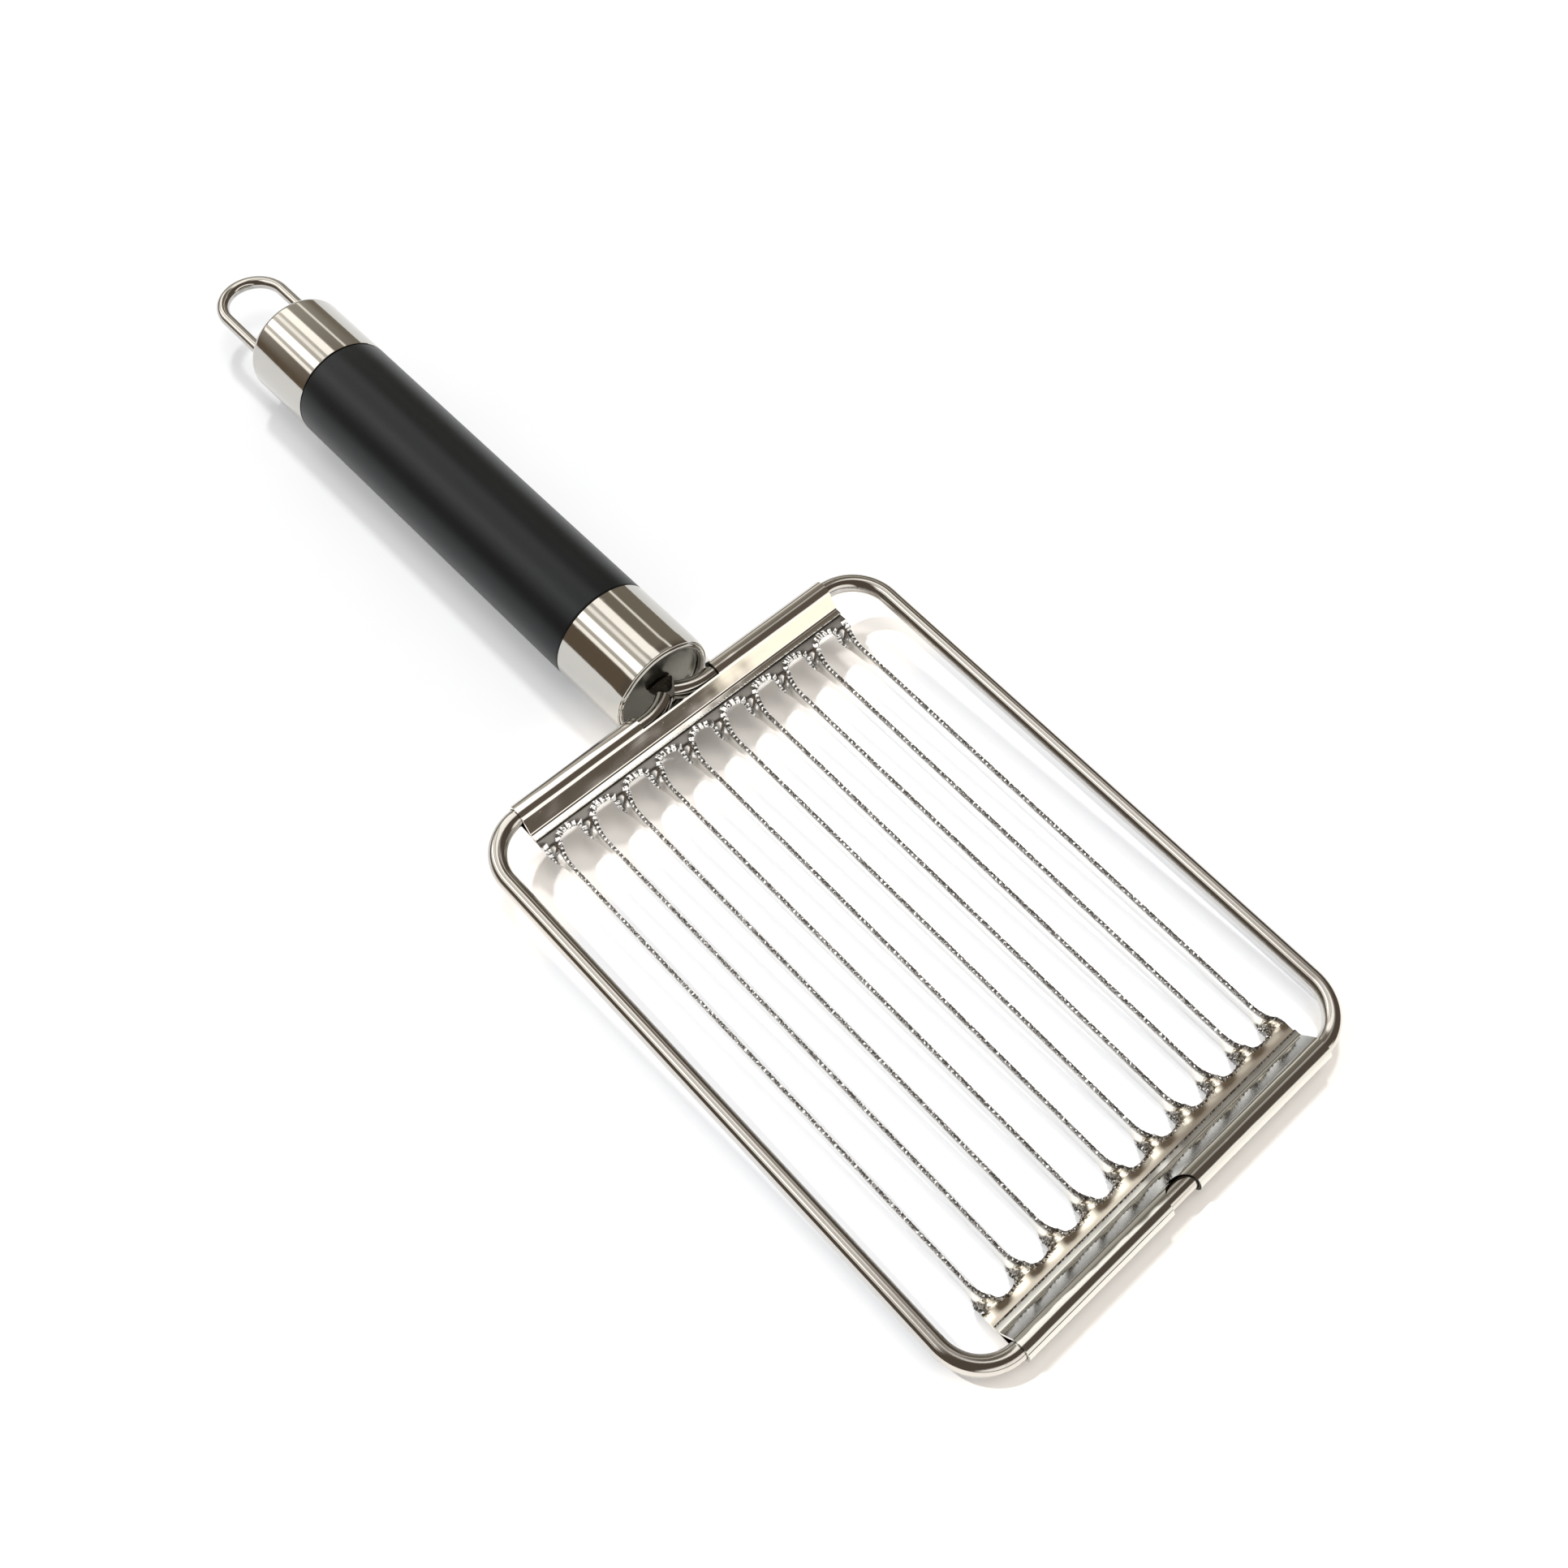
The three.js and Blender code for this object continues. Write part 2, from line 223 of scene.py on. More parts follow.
class Bench:
    """Adds nodes to one tree."""

    def __init__(self, tree):
        self.tree = tree

    def node(self, kind, settings=None, inputs=None, output=0):
        made = self.tree.nodes.new(kind)
        for name, value in (settings or {}).items():
            setattr(made, name, value)
        for key, value in (inputs or {}).items():
            if isinstance(value, Term):
                self.tree.links.new(value.socket, made.inputs[key])
            else:
                made.inputs[key].default_value = value
        return Term(self, made.outputs[output]) if made.outputs else None

    def mix(self, factor, one, other):
        settings = {"data_type": "RGBA"}
        inputs = {"Factor": factor, 6: one, 7: other}
        return self.node("ShaderNodeMix", settings, inputs, output=2)

    def vector(self, operation, one, other):
        return self.node("ShaderNodeVectorMath", {"operation": operation}, {0: one, 1: other})

    def scaled(self, amount, vector):
        return self.node("ShaderNodeVectorMath", {"operation": "SCALE"}, {0: vector, "Scale": amount})

    def attribute(self, name, output):
        return self.node("ShaderNodeAttribute", {"attribute_name": name}, output=output)

    def noise(self, vector, scale, detail=3.0, roughness=0.5):
        inputs = {"Vector": vector, "Scale": scale, "Detail": detail, "Roughness": roughness}
        return self.node("ShaderNodeTexNoise", {}, inputs)

    def parts(self, vector, axes="XYZ"):
        """The numbers of a vector along the named axes."""
        made = self.node("ShaderNodeSeparateXYZ", {}, {0: vector}).socket.node
        return [Term(self, made.outputs[axis]) for axis in axes]

    def stretched(self, scale):
        """Object coordinates in millimetres, each times its scale."""
        place = self.node("ShaderNodeTexCoord", output="Object")
        return self.vector("MULTIPLY", place, tuple(s / MM for s in scale))

    def grain(self, scale, detail, roughness=0.5):
        """Noise fixed to the object, drawn out along an axis by a small scale there."""
        return self.noise(self.stretched(scale), 1.0, detail, roughness)


def colour(red, green, blue):
    return (red, green, blue, 1.0)


def finish(name, build, **constants):
    """A material: build(bench) returns what varies, and the constants go on the shader's own sockets."""
    material = bpy.data.materials.new(name)
    material.use_nodes = True
    tree = material.node_tree
    tree.nodes.clear()
    bench = Bench(tree)
    inputs = {key.replace("_", " "): value for key, value in constants.items()}
    inputs.update(build(bench))
    shader = bench.node("ShaderNodeBsdfPrincipled", {}, inputs)
    bench.node("ShaderNodeOutputMaterial", {}, {"Surface": shader})
    return material


def bump(bench, height, strength, distance):
    inputs = {"Height": height, "Strength": strength, "Distance": distance}
    return bench.node("ShaderNodeBump", {}, inputs, output="Normal")


# ---- Finishes ----
# Places in the finishes are object coordinates in millimetres.

BRIGHT = colour(0.78, 0.765, 0.735)
WARM = colour(0.66, 0.62, 0.56)
POLISHED = colour(0.61, 0.595, 0.56)
DRAWN = colour(0.58, 0.565, 0.54)
RUBBED = colour(0.47, 0.44, 0.40)
ROLLED = colour(0.92, 0.915, 0.90)
STRAW = colour(0.93, 0.86, 0.73)
# Dark for the coined band and for painted shade.
RIM_AND_SHADE_DARK = colour(0.11, 0.10, 0.088)
SMOKED = colour(0.50, 0.475, 0.43)
FACED = colour(0.40, 0.405, 0.375)
SCUFFED = colour(0.25, 0.25, 0.225)


def drawn_wire(bench):
    """Polished rod: fine lines drawn along its length, a few handling marks."""
    section = bench.attribute("section", "Vector")
    run = bench.attribute("run", "Fac")
    along = bench.node("ShaderNodeCombineXYZ", {}, {"Z": run * 30.0})
    lines = bench.noise(bench.vector("ADD", bench.vector("MULTIPLY", section, (2600,) * 3), along), 1.0)
    place = bench.stretched((1, 1, 1))
    marks = bench.noise(place, 0.35, 4.0, 0.65)
    scuff = marks.step(0.56, 0.74)
    return {
        "Base Color": bench.mix(lines * 0.5 + scuff * 0.3, DRAWN, RUBBED),
        "Roughness": 0.035 + lines * 0.06 + scuff * 0.09,
        "Normal": bump(bench, lines, 0.10, 0.00002),
    }


def rolled_sheet(bench, clean=BRIGHT, worn=WARM, wave_share=0.5):
    """Bright stamped sheet: faint lines along the fold, gentle waves from the press, a dark coined band along
    the slots, and painted shade on the flap's end, the far roots, the near web and the far slope.
    """
    grain = bench.grain((2.2, 0.03, 2.2), 4.0)
    wave = bench.grain((0.14, 0.127, 0.14), 1.0)
    speck = bench.grain((1.6, 1.6, 1.6), 5.0, 0.7).step(0.62, 0.7)
    rim = bench.attribute("rim", "Fac")
    coined = bench.grain((2.4, 2.4, 2.4), 2.0).step(0.42, 0.6)
    # The rim share darkens the coined band along the slots, and paints shade on the flap's end and on the low
    # side of the far roots.
    rim_dark = rim * (0.7 + coined * 0.3)
    # Painted shade: this share darkens the near web, the near roots and the far slope, and also roughens
    # them.
    painted_shade_share = bench.attribute("worn", "Fac")
    base = bench.mix(painted_shade_share, bench.mix(grain * 0.3 + speck * 0.3, clean, worn), RIM_AND_SHADE_DARK)
    height = wave * wave_share + grain * 0.006 + coined * rim * 0.2
    return {
        "Base Color": bench.mix(rim_dark, base, RIM_AND_SHADE_DARK),
        "Roughness": 0.04 + grain * 0.04 + speck * 0.08 + rim_dark * 0.26 + painted_shade_share * 0.3,
        "Normal": bump(bench, height, 0.55, 0.0003),
    }


def far_sheet(bench):
    """The far rail: the same sheet, darker and greyer as painted shade."""
    return rolled_sheet(bench, colour(0.63, 0.63, 0.60), colour(0.50, 0.49, 0.46), 0.8)


def blade_sheet(bench):
    """The strips: the same sheet, bright and stretched flat, with a straw tint at their far roots."""
    along, = bench.parts(bench.stretched((1, 1, 1)), "X")
    clean = bench.mix(along.step(118, 124), ROLLED, STRAW)
    return rolled_sheet(bench, clean, BRIGHT, 0.12)


def coined_teeth(bench):
    """Pressed serration: pale and dark flecks laid by noise stand in for the glints and the dark line along
    each edge, as painted highlight and painted shade; the dark share grows from 16 mm along the head and
    again near the far end.
    """
    place = bench.stretched((1, 1, 1))
    fleck_noise = bench.noise(place, 2.3, 3.0)
    along, = bench.parts(place, "X")
    # Painted shade: the dark share grows from 16 mm along the head and again near the far end.
    shade = along.step(16, 30) * 0.085 + along.step(110, 124) * 0.045
    dark = (fleck_noise + shade).step(0.50, 0.62)
    return {
        "Base Color": bench.mix(dark, colour(0.93, 0.92, 0.90), colour(0.125, 0.115, 0.105)),
        "Metallic": 0.35 + dark * 0.65,
        "Roughness": 0.3 + dark * 0.1,
        "Normal": bump(bench, fleck_noise, 0.3, 0.00006),
    }


def cut_edge(bench):
    """The sheared edge of the sheet: dull and dark, with the tear marks of the punch."""
    tear = bench.grain((4.0, 4.0, 1.2), 4.0)
    return {
        "Base Color": bench.mix(tear, colour(0.045, 0.04, 0.035), colour(0.13, 0.115, 0.095)),
        "Roughness": 0.35 + tear * 0.3,
        "Normal": bump(bench, tear, 0.6, 0.0001),
    }


def turned_steel(bench):
    """Polished on a lathe: fine rings round the axis and faint draw lines."""
    rings = bench.grain((5.5, 0.03, 0.03), 4.0, 0.6)
    rub = bench.grain((0.12, 0.35, 0.35), 3.0)
    scratch = bench.grain((0.5, 2.6, 2.6), 2.0).step(0.66, 0.76)
    return {
        "Base Color": bench.mix(rings * 0.35 + rub * 0.25, POLISHED, SMOKED),
        "Roughness": 0.045 + rings * 0.05 + rub * 0.03 + scratch * 0.06,
        "Normal": bump(bench, rings + rub * 0.5, 0.06, 0.00004),
    }


def faced_disc(bench):
    """The flat end disc: greyer, with turning rings about its centre and small scuffs."""
    place = bench.stretched((1, 1, 1))
    across, height = bench.parts(place, "YZ")
    up = height - AXIS_Z
    radius = (across * across + up * up).root()
    ring_place = bench.node("ShaderNodeCombineXYZ", {}, {"X": radius * 4.0})
    rings = bench.noise(ring_place, 1.0, 3.0)
    scuff = bench.noise(place, 0.9, 5.0, 0.7)
    return {
        "Base Color": bench.mix(rings * 0.5 + scuff * 0.4, FACED, SCUFFED),
        "Roughness": 0.10 + rings * 0.08 + scuff * 0.12,
        "Normal": bump(bench, rings * 0.4 + scuff, 0.25, 0.00006),
    }


def satin_sleeve(bench):
    """Satin black moulding: fine spark grain, slightly shinier where it is held."""
    grain = bench.grain((7.0, 7.0, 7.0), 2.0)
    handled = bench.grain((0.035, 0.09, 0.09), 3.0)
    dust = bench.grain((1.1, 1.1, 1.1), 4.0, 0.7).step(0.735, 0.76)
    base = bench.mix(handled, colour(0.0022, 0.0026, 0.0030), colour(0.0036, 0.0042, 0.0048))
    return {
        "Base Color": bench.mix(dust * 0.35, base, colour(0.05, 0.05, 0.05)),
        "Roughness": 0.30 + handled * 0.07 + grain * 0.05,
        "Normal": bump(bench, grain, 0.16, 0.00005),
    }


def weld_scale(bench):
    """Dark, pitted weld metal with heat scale."""
    place = bench.stretched((1, 1, 1))
    pits = bench.noise(place, 1.9, 5.0, 0.65)
    heat = bench.noise(place, 0.7, 2.0)
    shine = pits.step(0.55, 0.7)
    dark = bench.mix(heat, colour(0.06, 0.056, 0.05), colour(0.15, 0.135, 0.112))
    return {
        "Base Color": bench.mix(shine * 0.5, dark, colour(0.36, 0.34, 0.30)),
        "Roughness": 0.55 - shine * 0.25,
        "Normal": bump(bench, pits, 0.9, 0.0004),
    }


def mill_steel(bench):
    """Plain inner steel, as it comes from the mill."""
    grain = bench.grain((0.12, 1.8, 1.8), 4.0)
    return {
        "Base Color": bench.mix(grain, colour(0.5, 0.48, 0.45), colour(0.36, 0.34, 0.31)),
        "Roughness": 0.28 + grain * 0.2,
        "Normal": bump(bench, grain, 0.2, 0.00006),
    }


def moulded_plug(bench):
    """Plain dark moulding, hidden inside the handle."""
    grain = bench.grain((2.5, 2.5, 2.5), 3.0)
    return {
        "Base Color": bench.mix(grain, colour(0.018, 0.018, 0.018), colour(0.035, 0.034, 0.033)),
        "Roughness": 0.5 + grain * 0.2,
        "Normal": bump(bench, grain, 0.3, 0.00008),
    }


def matt_paper(bench):
    """The pale table, with painted shade in its colour: a cool grey beside the handle darkens its shadow and
    its reflection in the ferrules, a warm white under the rails warms the shadows there as bounced light
    would, and a greyer white between the blades lets their faint shadows show. Where lit, each reads white.
    """
    fleck = bench.grain((0.05, 0.05, 0.05), 4.0)
    along, = bench.parts(bench.stretched((1, 1, 1)), "X")
    # Painted shade: the floor's tone by place sets how dark and how warm its shadows and reflections are.
    white = bench.mix(along.step(-14, 16), colour(0.61, 0.615, 0.625), colour(0.96, 0.92, 0.875))
    white = bench.mix(along.band(27, 128, 5), white, colour(0.79, 0.80, 0.82))
    return {
        "Base Color": bench.mix(fleck * 0.06, white, colour(0.85, 0.85, 0.85)),
        "Roughness": 0.85 + fleck * 0.1,
    }


WIRE = finish("polished_wire", drawn_wire, Metallic=1.0)
SHEET_STEEL = finish("bright_sheet", rolled_sheet, Metallic=1.0)
FAR_STEEL = finish("handled_sheet", far_sheet, Metallic=1.0)
BLADE_STEEL = finish("blade_sheet", blade_sheet, Metallic=1.0)
TEETH = finish("coined_serration", coined_teeth)
CUT_EDGE = finish("cut_edge", cut_edge, Metallic=1.0)
FERRULE = finish("turned_ferrule", turned_steel, Metallic=1.0)
DISC = finish("faced_disc", faced_disc, Metallic=1.0)
SLEEVE = finish("satin_black", satin_sleeve, IOR=1.4, Specular_Tint=colour(0.92, 0.98, 1.0))
WELD = finish("weld_bead", weld_scale, Metallic=1.0)
INNER = finish("mill_steel", mill_steel, Metallic=1.0)
PLUG = finish("moulded_plug", moulded_plug)
TABLE = finish("matt_table", matt_paper, Specular_IOR_Level=0.1)


# ---- Mesh helpers ----


def mesh_object(name, points, faces=(), edges=()):
    mesh = bpy.data.meshes.new(name)
    mesh.from_pydata([tuple(p) for p in points], list(edges), list(faces))
    made = bpy.data.objects.new(name, mesh)
    bpy.context.scene.collection.objects.link(made)
    return made


def store(made, name, values):
    """Gives every point of the mesh a named number."""
    made.data.attributes.new(name, "FLOAT", "POINT").data.foreach_set("value", values)


def from_bmesh(name, shape):
    """Turns a finished bmesh into an object and frees it."""
    mesh = bpy.data.meshes.new(name)
    shape.to_mesh(mesh)
    shape.free()
    made = bpy.data.objects.new(name, mesh)
    bpy.context.scene.collection.objects.link(made)
    return made


def tidy_shell(made, join=1e-5):
    """Merges doubled points and turns every face outwards."""
    shell = bmesh.new()
    shell.from_mesh(made.data)
    bmesh.ops.remove_doubles(shell, verts=shell.verts, dist=join)
    bmesh.ops.recalc_face_normals(shell, faces=shell.faces)
    shell.to_mesh(made.data)
    shell.free()
    return made


def shade(made, crease=35):
    made.data.shade_smooth()
    made.data.set_sharp_from_angle(angle=math.radians(crease))
    return made


def placed(made, matrix, material=None):
    """Puts the place in the mesh, so the object itself stays at the origin."""
    made.data.transform(matrix)
    if material:
        made.data.materials.clear()
        made.data.materials.append(material)
    return made


def evaluated(made, name):
    """A plain mesh object of what the modifiers give; the working object goes."""
    graph = bpy.context.evaluated_depsgraph_get()
    mesh = bpy.data.meshes.new_from_object(made.evaluated_get(graph))
    bpy.data.objects.remove(made)
    mesh.name = name
    result = bpy.data.objects.new(name, mesh)
    bpy.context.scene.collection.objects.link(result)
    return result


def cut(made, cutters):
    """Takes the cutters' room out of the body."""
    name = made.name
    for cutter in cutters:
        step = made.modifiers.new("cut", "BOOLEAN")
        step.operation = "DIFFERENCE"
        step.solver = "EXACT"
        step.material_mode = "TRANSFER"
        step.object = cutter
    result = evaluated(made, name + "_cut")
    for cutter in cutters:
        bpy.data.objects.remove(cutter)
    result.name = name
    return result


def keep(made, slot, *nodes):
    """Joins the piece to the object: it rides on the one body and stands for its CAD nodes."""
    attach(made, "root")
    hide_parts(*nodes)


def arc(centre, radius, start, end, steps):
    """Points of an arc, with angles in degrees."""
    angles = np.radians(np.linspace(start, end, steps + 1))
    return [(centre[0] + radius * math.cos(a), centre[1] + radius * math.sin(a)) for a in angles]


# ---- Turned pieces ----


def turned(name, profile, segments=144):
    """A body turned about the handle's axis from [axial, radius] points."""
    rings = []
    points = []
    for axial, radius in profile:
        if radius < 1e-6:
            rings.append([len(points)] * segments)
            points.append((axial, 0.0, 0.0))
            continue
        first = len(points)
        rings.append(list(range(first, first + segments)))
        for i in range(segments):
            angle = 2 * PI * i / segments
            points.append((axial, radius * math.cos(angle), radius * math.sin(angle)))
    on_axis = profile[0][1] < 1e-6
    pairs = list(zip(rings, rings[1:]))
    if not on_axis:
        pairs.append((rings[-1], rings[0]))
    faces = []
    for one, other in pairs:
        for i in range(segments):
            j = (i + 1) % segments
            corners = [one[i], one[j], other[j], other[i]]
            faces.append(list(dict.fromkeys(corners)))
    return tidy_shell(mesh_object(name, points, faces))


def front_ferrule():
    bore = HANDLE_RADIUS - FERRULE_WALL
    crown_run, crown_drop, crown_end, edge = 2.8, 0.2, 0.6, 0.3
    crown = [
        (-crown_end - crown_run * (1 - t), HANDLE_RADIUS - crown_drop * t ** 2)
        for t in np.linspace(0, 1, 12)
    ]
    lean = math.atan(2 * crown_drop / crown_run)
    edge_centre = (-crown_end - edge * math.sin(lean), HANDLE_RADIUS - crown_drop - edge * math.cos(lean))
    seam_outer, seam_inner, seam_depth = 10.52, 10.4, 0.55
    bead = (seam_inner - LIP_INNER) / 2
    bead_centre = (-bead, LIP_INNER + bead)
    profile = [
        (GRIP_FRONT, bore),
        (GRIP_FRONT, HANDLE_RADIUS - 0.08),
        (GRIP_FRONT + 0.08, HANDLE_RADIUS),
        *crown[:-1],
        *arc(edge_centre, edge, 90 - math.degrees(lean), 10, 8),
        (-0.25, seam_outer),
        (-seam_depth, seam_outer),
        (-seam_depth, seam_inner),
        *arc(bead_centre, bead, 90, -90, 14),
        (-LIP_DEPTH, LIP_INNER),
        (-LIP_DEPTH, bore),
    ]
    return shade(placed(turned("front_ferrule_look", profile), HANDLE, FERRULE))


def end_disc():
    face = -LIP_DEPTH - DISC_CLEARANCE
    back = face - DISC_THICKNESS
    step_radius, step = 8.9, 0.22
    profile = [
        (back, 0.0),
        (back, SPIGOT_RADIUS),
        (face, SPIGOT_RADIUS),
        (face, step_radius + step),
        *arc((face, step_radius), step, 90, 180, 4),
        (face - step, step_radius - 0.3),
        (face - step, 0.0),
    ]
    return shade(placed(turned("end_disc_look", profile), HANDLE, DISC), 50)


def grip():
    outer = HANDLE_RADIUS - 0.03
    edge = 0.35
    back, front = GRIP_BACK + GRIP_SEAM, GRIP_FRONT - GRIP_SEAM
    middle = [(x, outer) for x in np.linspace(back + edge, front - edge, 12)[1:-1]]
    profile = [
        (GRIP_BACK - SPIGOT_LENGTH, GRIP_BORE),
        (GRIP_BACK - SPIGOT_LENGTH, SPIGOT_RADIUS),
        (back, SPIGOT_RADIUS),
        *arc((back + edge, outer - edge), edge, 180, 90, 6),
        *middle,
        *arc((front - edge, outer - edge), edge, 90, 0, 6),
        (front, SPIGOT_RADIUS),
        (GRIP_FRONT + SPIGOT_LENGTH, SPIGOT_RADIUS),
        (GRIP_FRONT + SPIGOT_LENGTH, GRIP_BORE),
    ]
    return shade(placed(turned("grip_sleeve", profile), HANDLE, SLEEVE))


def tail_ferrule():
    bore = HANDLE_RADIUS - FERRULE_WALL
    inner = TAIL_SHOULDER - FERRULE_WALL
    inner_face = TAIL_FACE + FERRULE_WALL
    profile = [
        (inner_face, 0.0),
        *arc((inner_face + inner, bore - inner), inner, 180, 90, 5),
        (GRIP_BACK, bore),
        (GRIP_BACK, HANDLE_RADIUS - 0.08),
        (GRIP_BACK - 0.08, HANDLE_RADIUS),
        *arc((TAIL_FACE + TAIL_SHOULDER, HANDLE_RADIUS - TAIL_SHOULDER), TAIL_SHOULDER, 90, 180, 10),
        (TAIL_FACE, 0.0),
    ]
    cup = turned("tail_ferrule_look", profile)
    drills = []
    for side in (-1, 1):
        drill = turned("drill", [
            (TAIL_FACE - 1, 0.0),
            (TAIL_FACE - 1, LEG_HOLE),
            (inner_face + 1, LEG_HOLE),
            (inner_face + 1, 0.0),
        ], 48)
        drill.data.transform(Matrix.Translation((0, side * LOOP_SPREAD, 0)))
        drills.append(drill)
    return shade(placed(cut(cup, drills), HANDLE, FERRULE), 30)


# ---- Wire on a path ----


def group_tree(name, sockets):
    """A new geometry tree with named inputs and its two end nodes."""
    tree = bpy.data.node_groups.new(name, "GeometryNodeTree")
    tree.interface.new_socket("Geometry", in_out="OUTPUT", socket_type="NodeSocketGeometry")
    tree.interface.new_socket("Geometry", in_out="INPUT", socket_type="NodeSocketGeometry")
    for label, kind in sockets:
        tree.interface.new_socket(label, in_out="INPUT", socket_type=kind)
    bench = Bench(tree)
    start = tree.nodes.new("NodeGroupInput")
    given = {socket.name: Term(bench, socket) for socket in start.outputs if socket.name}
    return tree, bench, given


def run_tree(made, tree, values, name):
    """Sets the tree's inputs by their identifiers, then keeps the plain mesh that it gives."""
    step = made.modifiers.new(tree.name, "NODES")
    step.node_group = tree
    for item in tree.interface.items_tree:
        if item.in_out == "INPUT" and item.name in values:
            step[item.identifier] = values[item.name]
    return evaluated(made, name)


def wire_tree():
    tree, bench, given = group_tree("wire_on_path", [
        ("Wire radius", "NodeSocketFloat"),
        ("Sides", "NodeSocketInt"),
        ("Finish", "NodeSocketMaterial"),
    ])
    line = bench.node("GeometryNodeMeshToCurve", {}, {"Mesh": given["Geometry"]})
    girth = bench.node("GeometryNodeInputNamedAttribute", {"data_type": "FLOAT"}, {"Name": "girth"})
    line = bench.node("GeometryNodeSetCurveRadius", {}, {"Curve": line, "Radius": girth})
    run = bench.node("GeometryNodeSplineParameter", output="Length")
    line = bench.node(
        "GeometryNodeStoreNamedAttribute",
        {"data_type": "FLOAT", "domain": "POINT"},
        {"Geometry": line, "Name": "run", "Value": run},
    )
    ring = bench.node(
        "GeometryNodeCurvePrimitiveCircle", {},
        {"Resolution": given["Sides"], "Radius": given["Wire radius"]},
    )
    place = bench.node("GeometryNodeInputPosition")
    ring = bench.node(
        "GeometryNodeStoreNamedAttribute",
        {"data_type": "FLOAT_VECTOR", "domain": "POINT"},
        {"Geometry": ring, "Name": "section", "Value": place},
    )
    body = bench.node(
        "GeometryNodeCurveToMesh", {},
        {"Curve": line, "Profile Curve": ring, "Fill Caps": True},
    )
    body = bench.node("GeometryNodeRealizeInstances", {}, {"Geometry": body})
    body = bench.node("GeometryNodeSetMaterial", {}, {"Geometry": body, "Material": given["Finish"]})
    bench.node("NodeGroupOutput", {}, {"Geometry": body})
    return tree


WIRE_TREE = wire_tree()


def rounded_ends(path, radius, rounding):
    """The path with stations close to both ends, and the girth of the wire at each, as a share."""
    path = np.array(path, float)
    first = (path[1] - path[0]) / np.linalg.norm(path[1] - path[0])
    last = (path[-2] - path[-1]) / np.linalg.norm(path[-2] - path[-1])
    shares = [(rounding * (1 - math.cos(a)), 1 - rounding / radius * (1 - math.sin(a)))
              for a in np.radians([0, 30, 60, 90])]
    head = [path[0] + first * step for step, _ in shares]
    tail = [path[-1] + last * step for step, _ in reversed(shares)]
    girths = [girth for _, girth in shares]
    middle = path[1:-1]
    return (
        np.vstack([head, middle, tail]),
        np.concatenate([girths, np.ones(len(middle)), girths[::-1]]),
    )


def wire(name, path, radius, rounding, matrix, drawn_down=0.0, sides=32):
    """Wire along a path. drawn_down is the share of girth that the tips lose, over the last few stations."""
    points, girths = rounded_ends(path, radius, rounding)
    steps = np.minimum(np.arange(len(points)), np.arange(len(points))[::-1])
    taper_steps, taper_power = 16, 1.3
    girths = girths * (1 - drawn_down * np.clip(1 - steps / taper_steps, 0, 1) ** taper_power)
    edges = [(i, i + 1) for i in range(len(points) - 1)]
    line = mesh_object("line", points, edges=edges)
    store(line, "girth", girths)
    values = {"Wire radius": radius, "Sides": sides, "Finish": WIRE}
    body = run_tree(line, WIRE_TREE, values, name)
    return shade(placed(tidy_shell(body), matrix, WIRE), 40)


def flat_bend(centre, radius, start, end, steps=20):
    return [(x, y, 0.0) for x, y in arc(centre, radius, start, end, steps)]


def frame_rod():
    side = HALF_WIDTH - CORNER_RADIUS
    near, far = CORNER_RADIUS, HEAD_LENGTH - CORNER_RADIUS
    tang = math.degrees(TANG_ANGLE)
    path = [
        *flat_bend((-TANG_RADIUS, -TANG_START), TANG_RADIUS, tang, 0, 14),
        *flat_bend((near, -side), CORNER_RADIUS, -180, -90),
        *flat_bend((far, -side), CORNER_RADIUS, -90, 0),
        *flat_bend((far, side), CORNER_RADIUS, 0, 90),
        *flat_bend((near, side), CORNER_RADIUS, 90, 180),
        *flat_bend((-TANG_RADIUS, TANG_START), TANG_RADIUS, 0, -tang, 14),
    ]
    return wire("frame_rod_look", path, ROD_RADIUS, ROD_TIP_ROUNDING, HEAD, drawn_down=TANG_TAPER)


def hanging_loop():
    centre = TAIL_FACE - LOOP_REACH + LOOP_SPREAD
    path = [
        (LOOP_LEG_END, LOOP_SPREAD, 0.0),
        *flat_bend((centre, 0), LOOP_SPREAD, 90, 270, 40),
        (LOOP_LEG_END, -LOOP_SPREAD, 0.0),
    ]
    return wire("hanging_loop_look", path, LOOP_WIRE, 0.2, HANDLE)


# ---- Weld bead ----


def weld_bead():
    """A lumpy half-ball of weld on the disc, between the two tangs."""
    face = -RAIL_STANDOFF - LIP_DEPTH - DISC_CLEARANCE
    reach, half_span, half_rise = 2.5, 2.9, 1.25
    ball = bmesh.new()
    bmesh.ops.create_icosphere(ball, subdivisions=4, radius=1.0)
    for point in ball.verts:
        x, y, z = point.co
        broad = 0.04 * math.sin(7.1 * y + 2.0 * z)
        slanting = 0.03 * math.sin(9.3 * z - 4.1 * x)
        fine = 0.025 * math.sin(15.7 * y + 5)
        point.co *= 0.9 + (broad + slanting + fine)
        point.co.x = max(point.co.x, 0.02)
    bead = from_bmesh("tang_weld_look", ball)
    bead.data.transform(Matrix.Translation((face, 0, 0)) @ Matrix.Diagonal((reach, half_span, half_rise, 1)))
    return shade(placed(tidy_shell(bead), HEAD, WELD), 60)


# ---- Rails folded round the rod ----


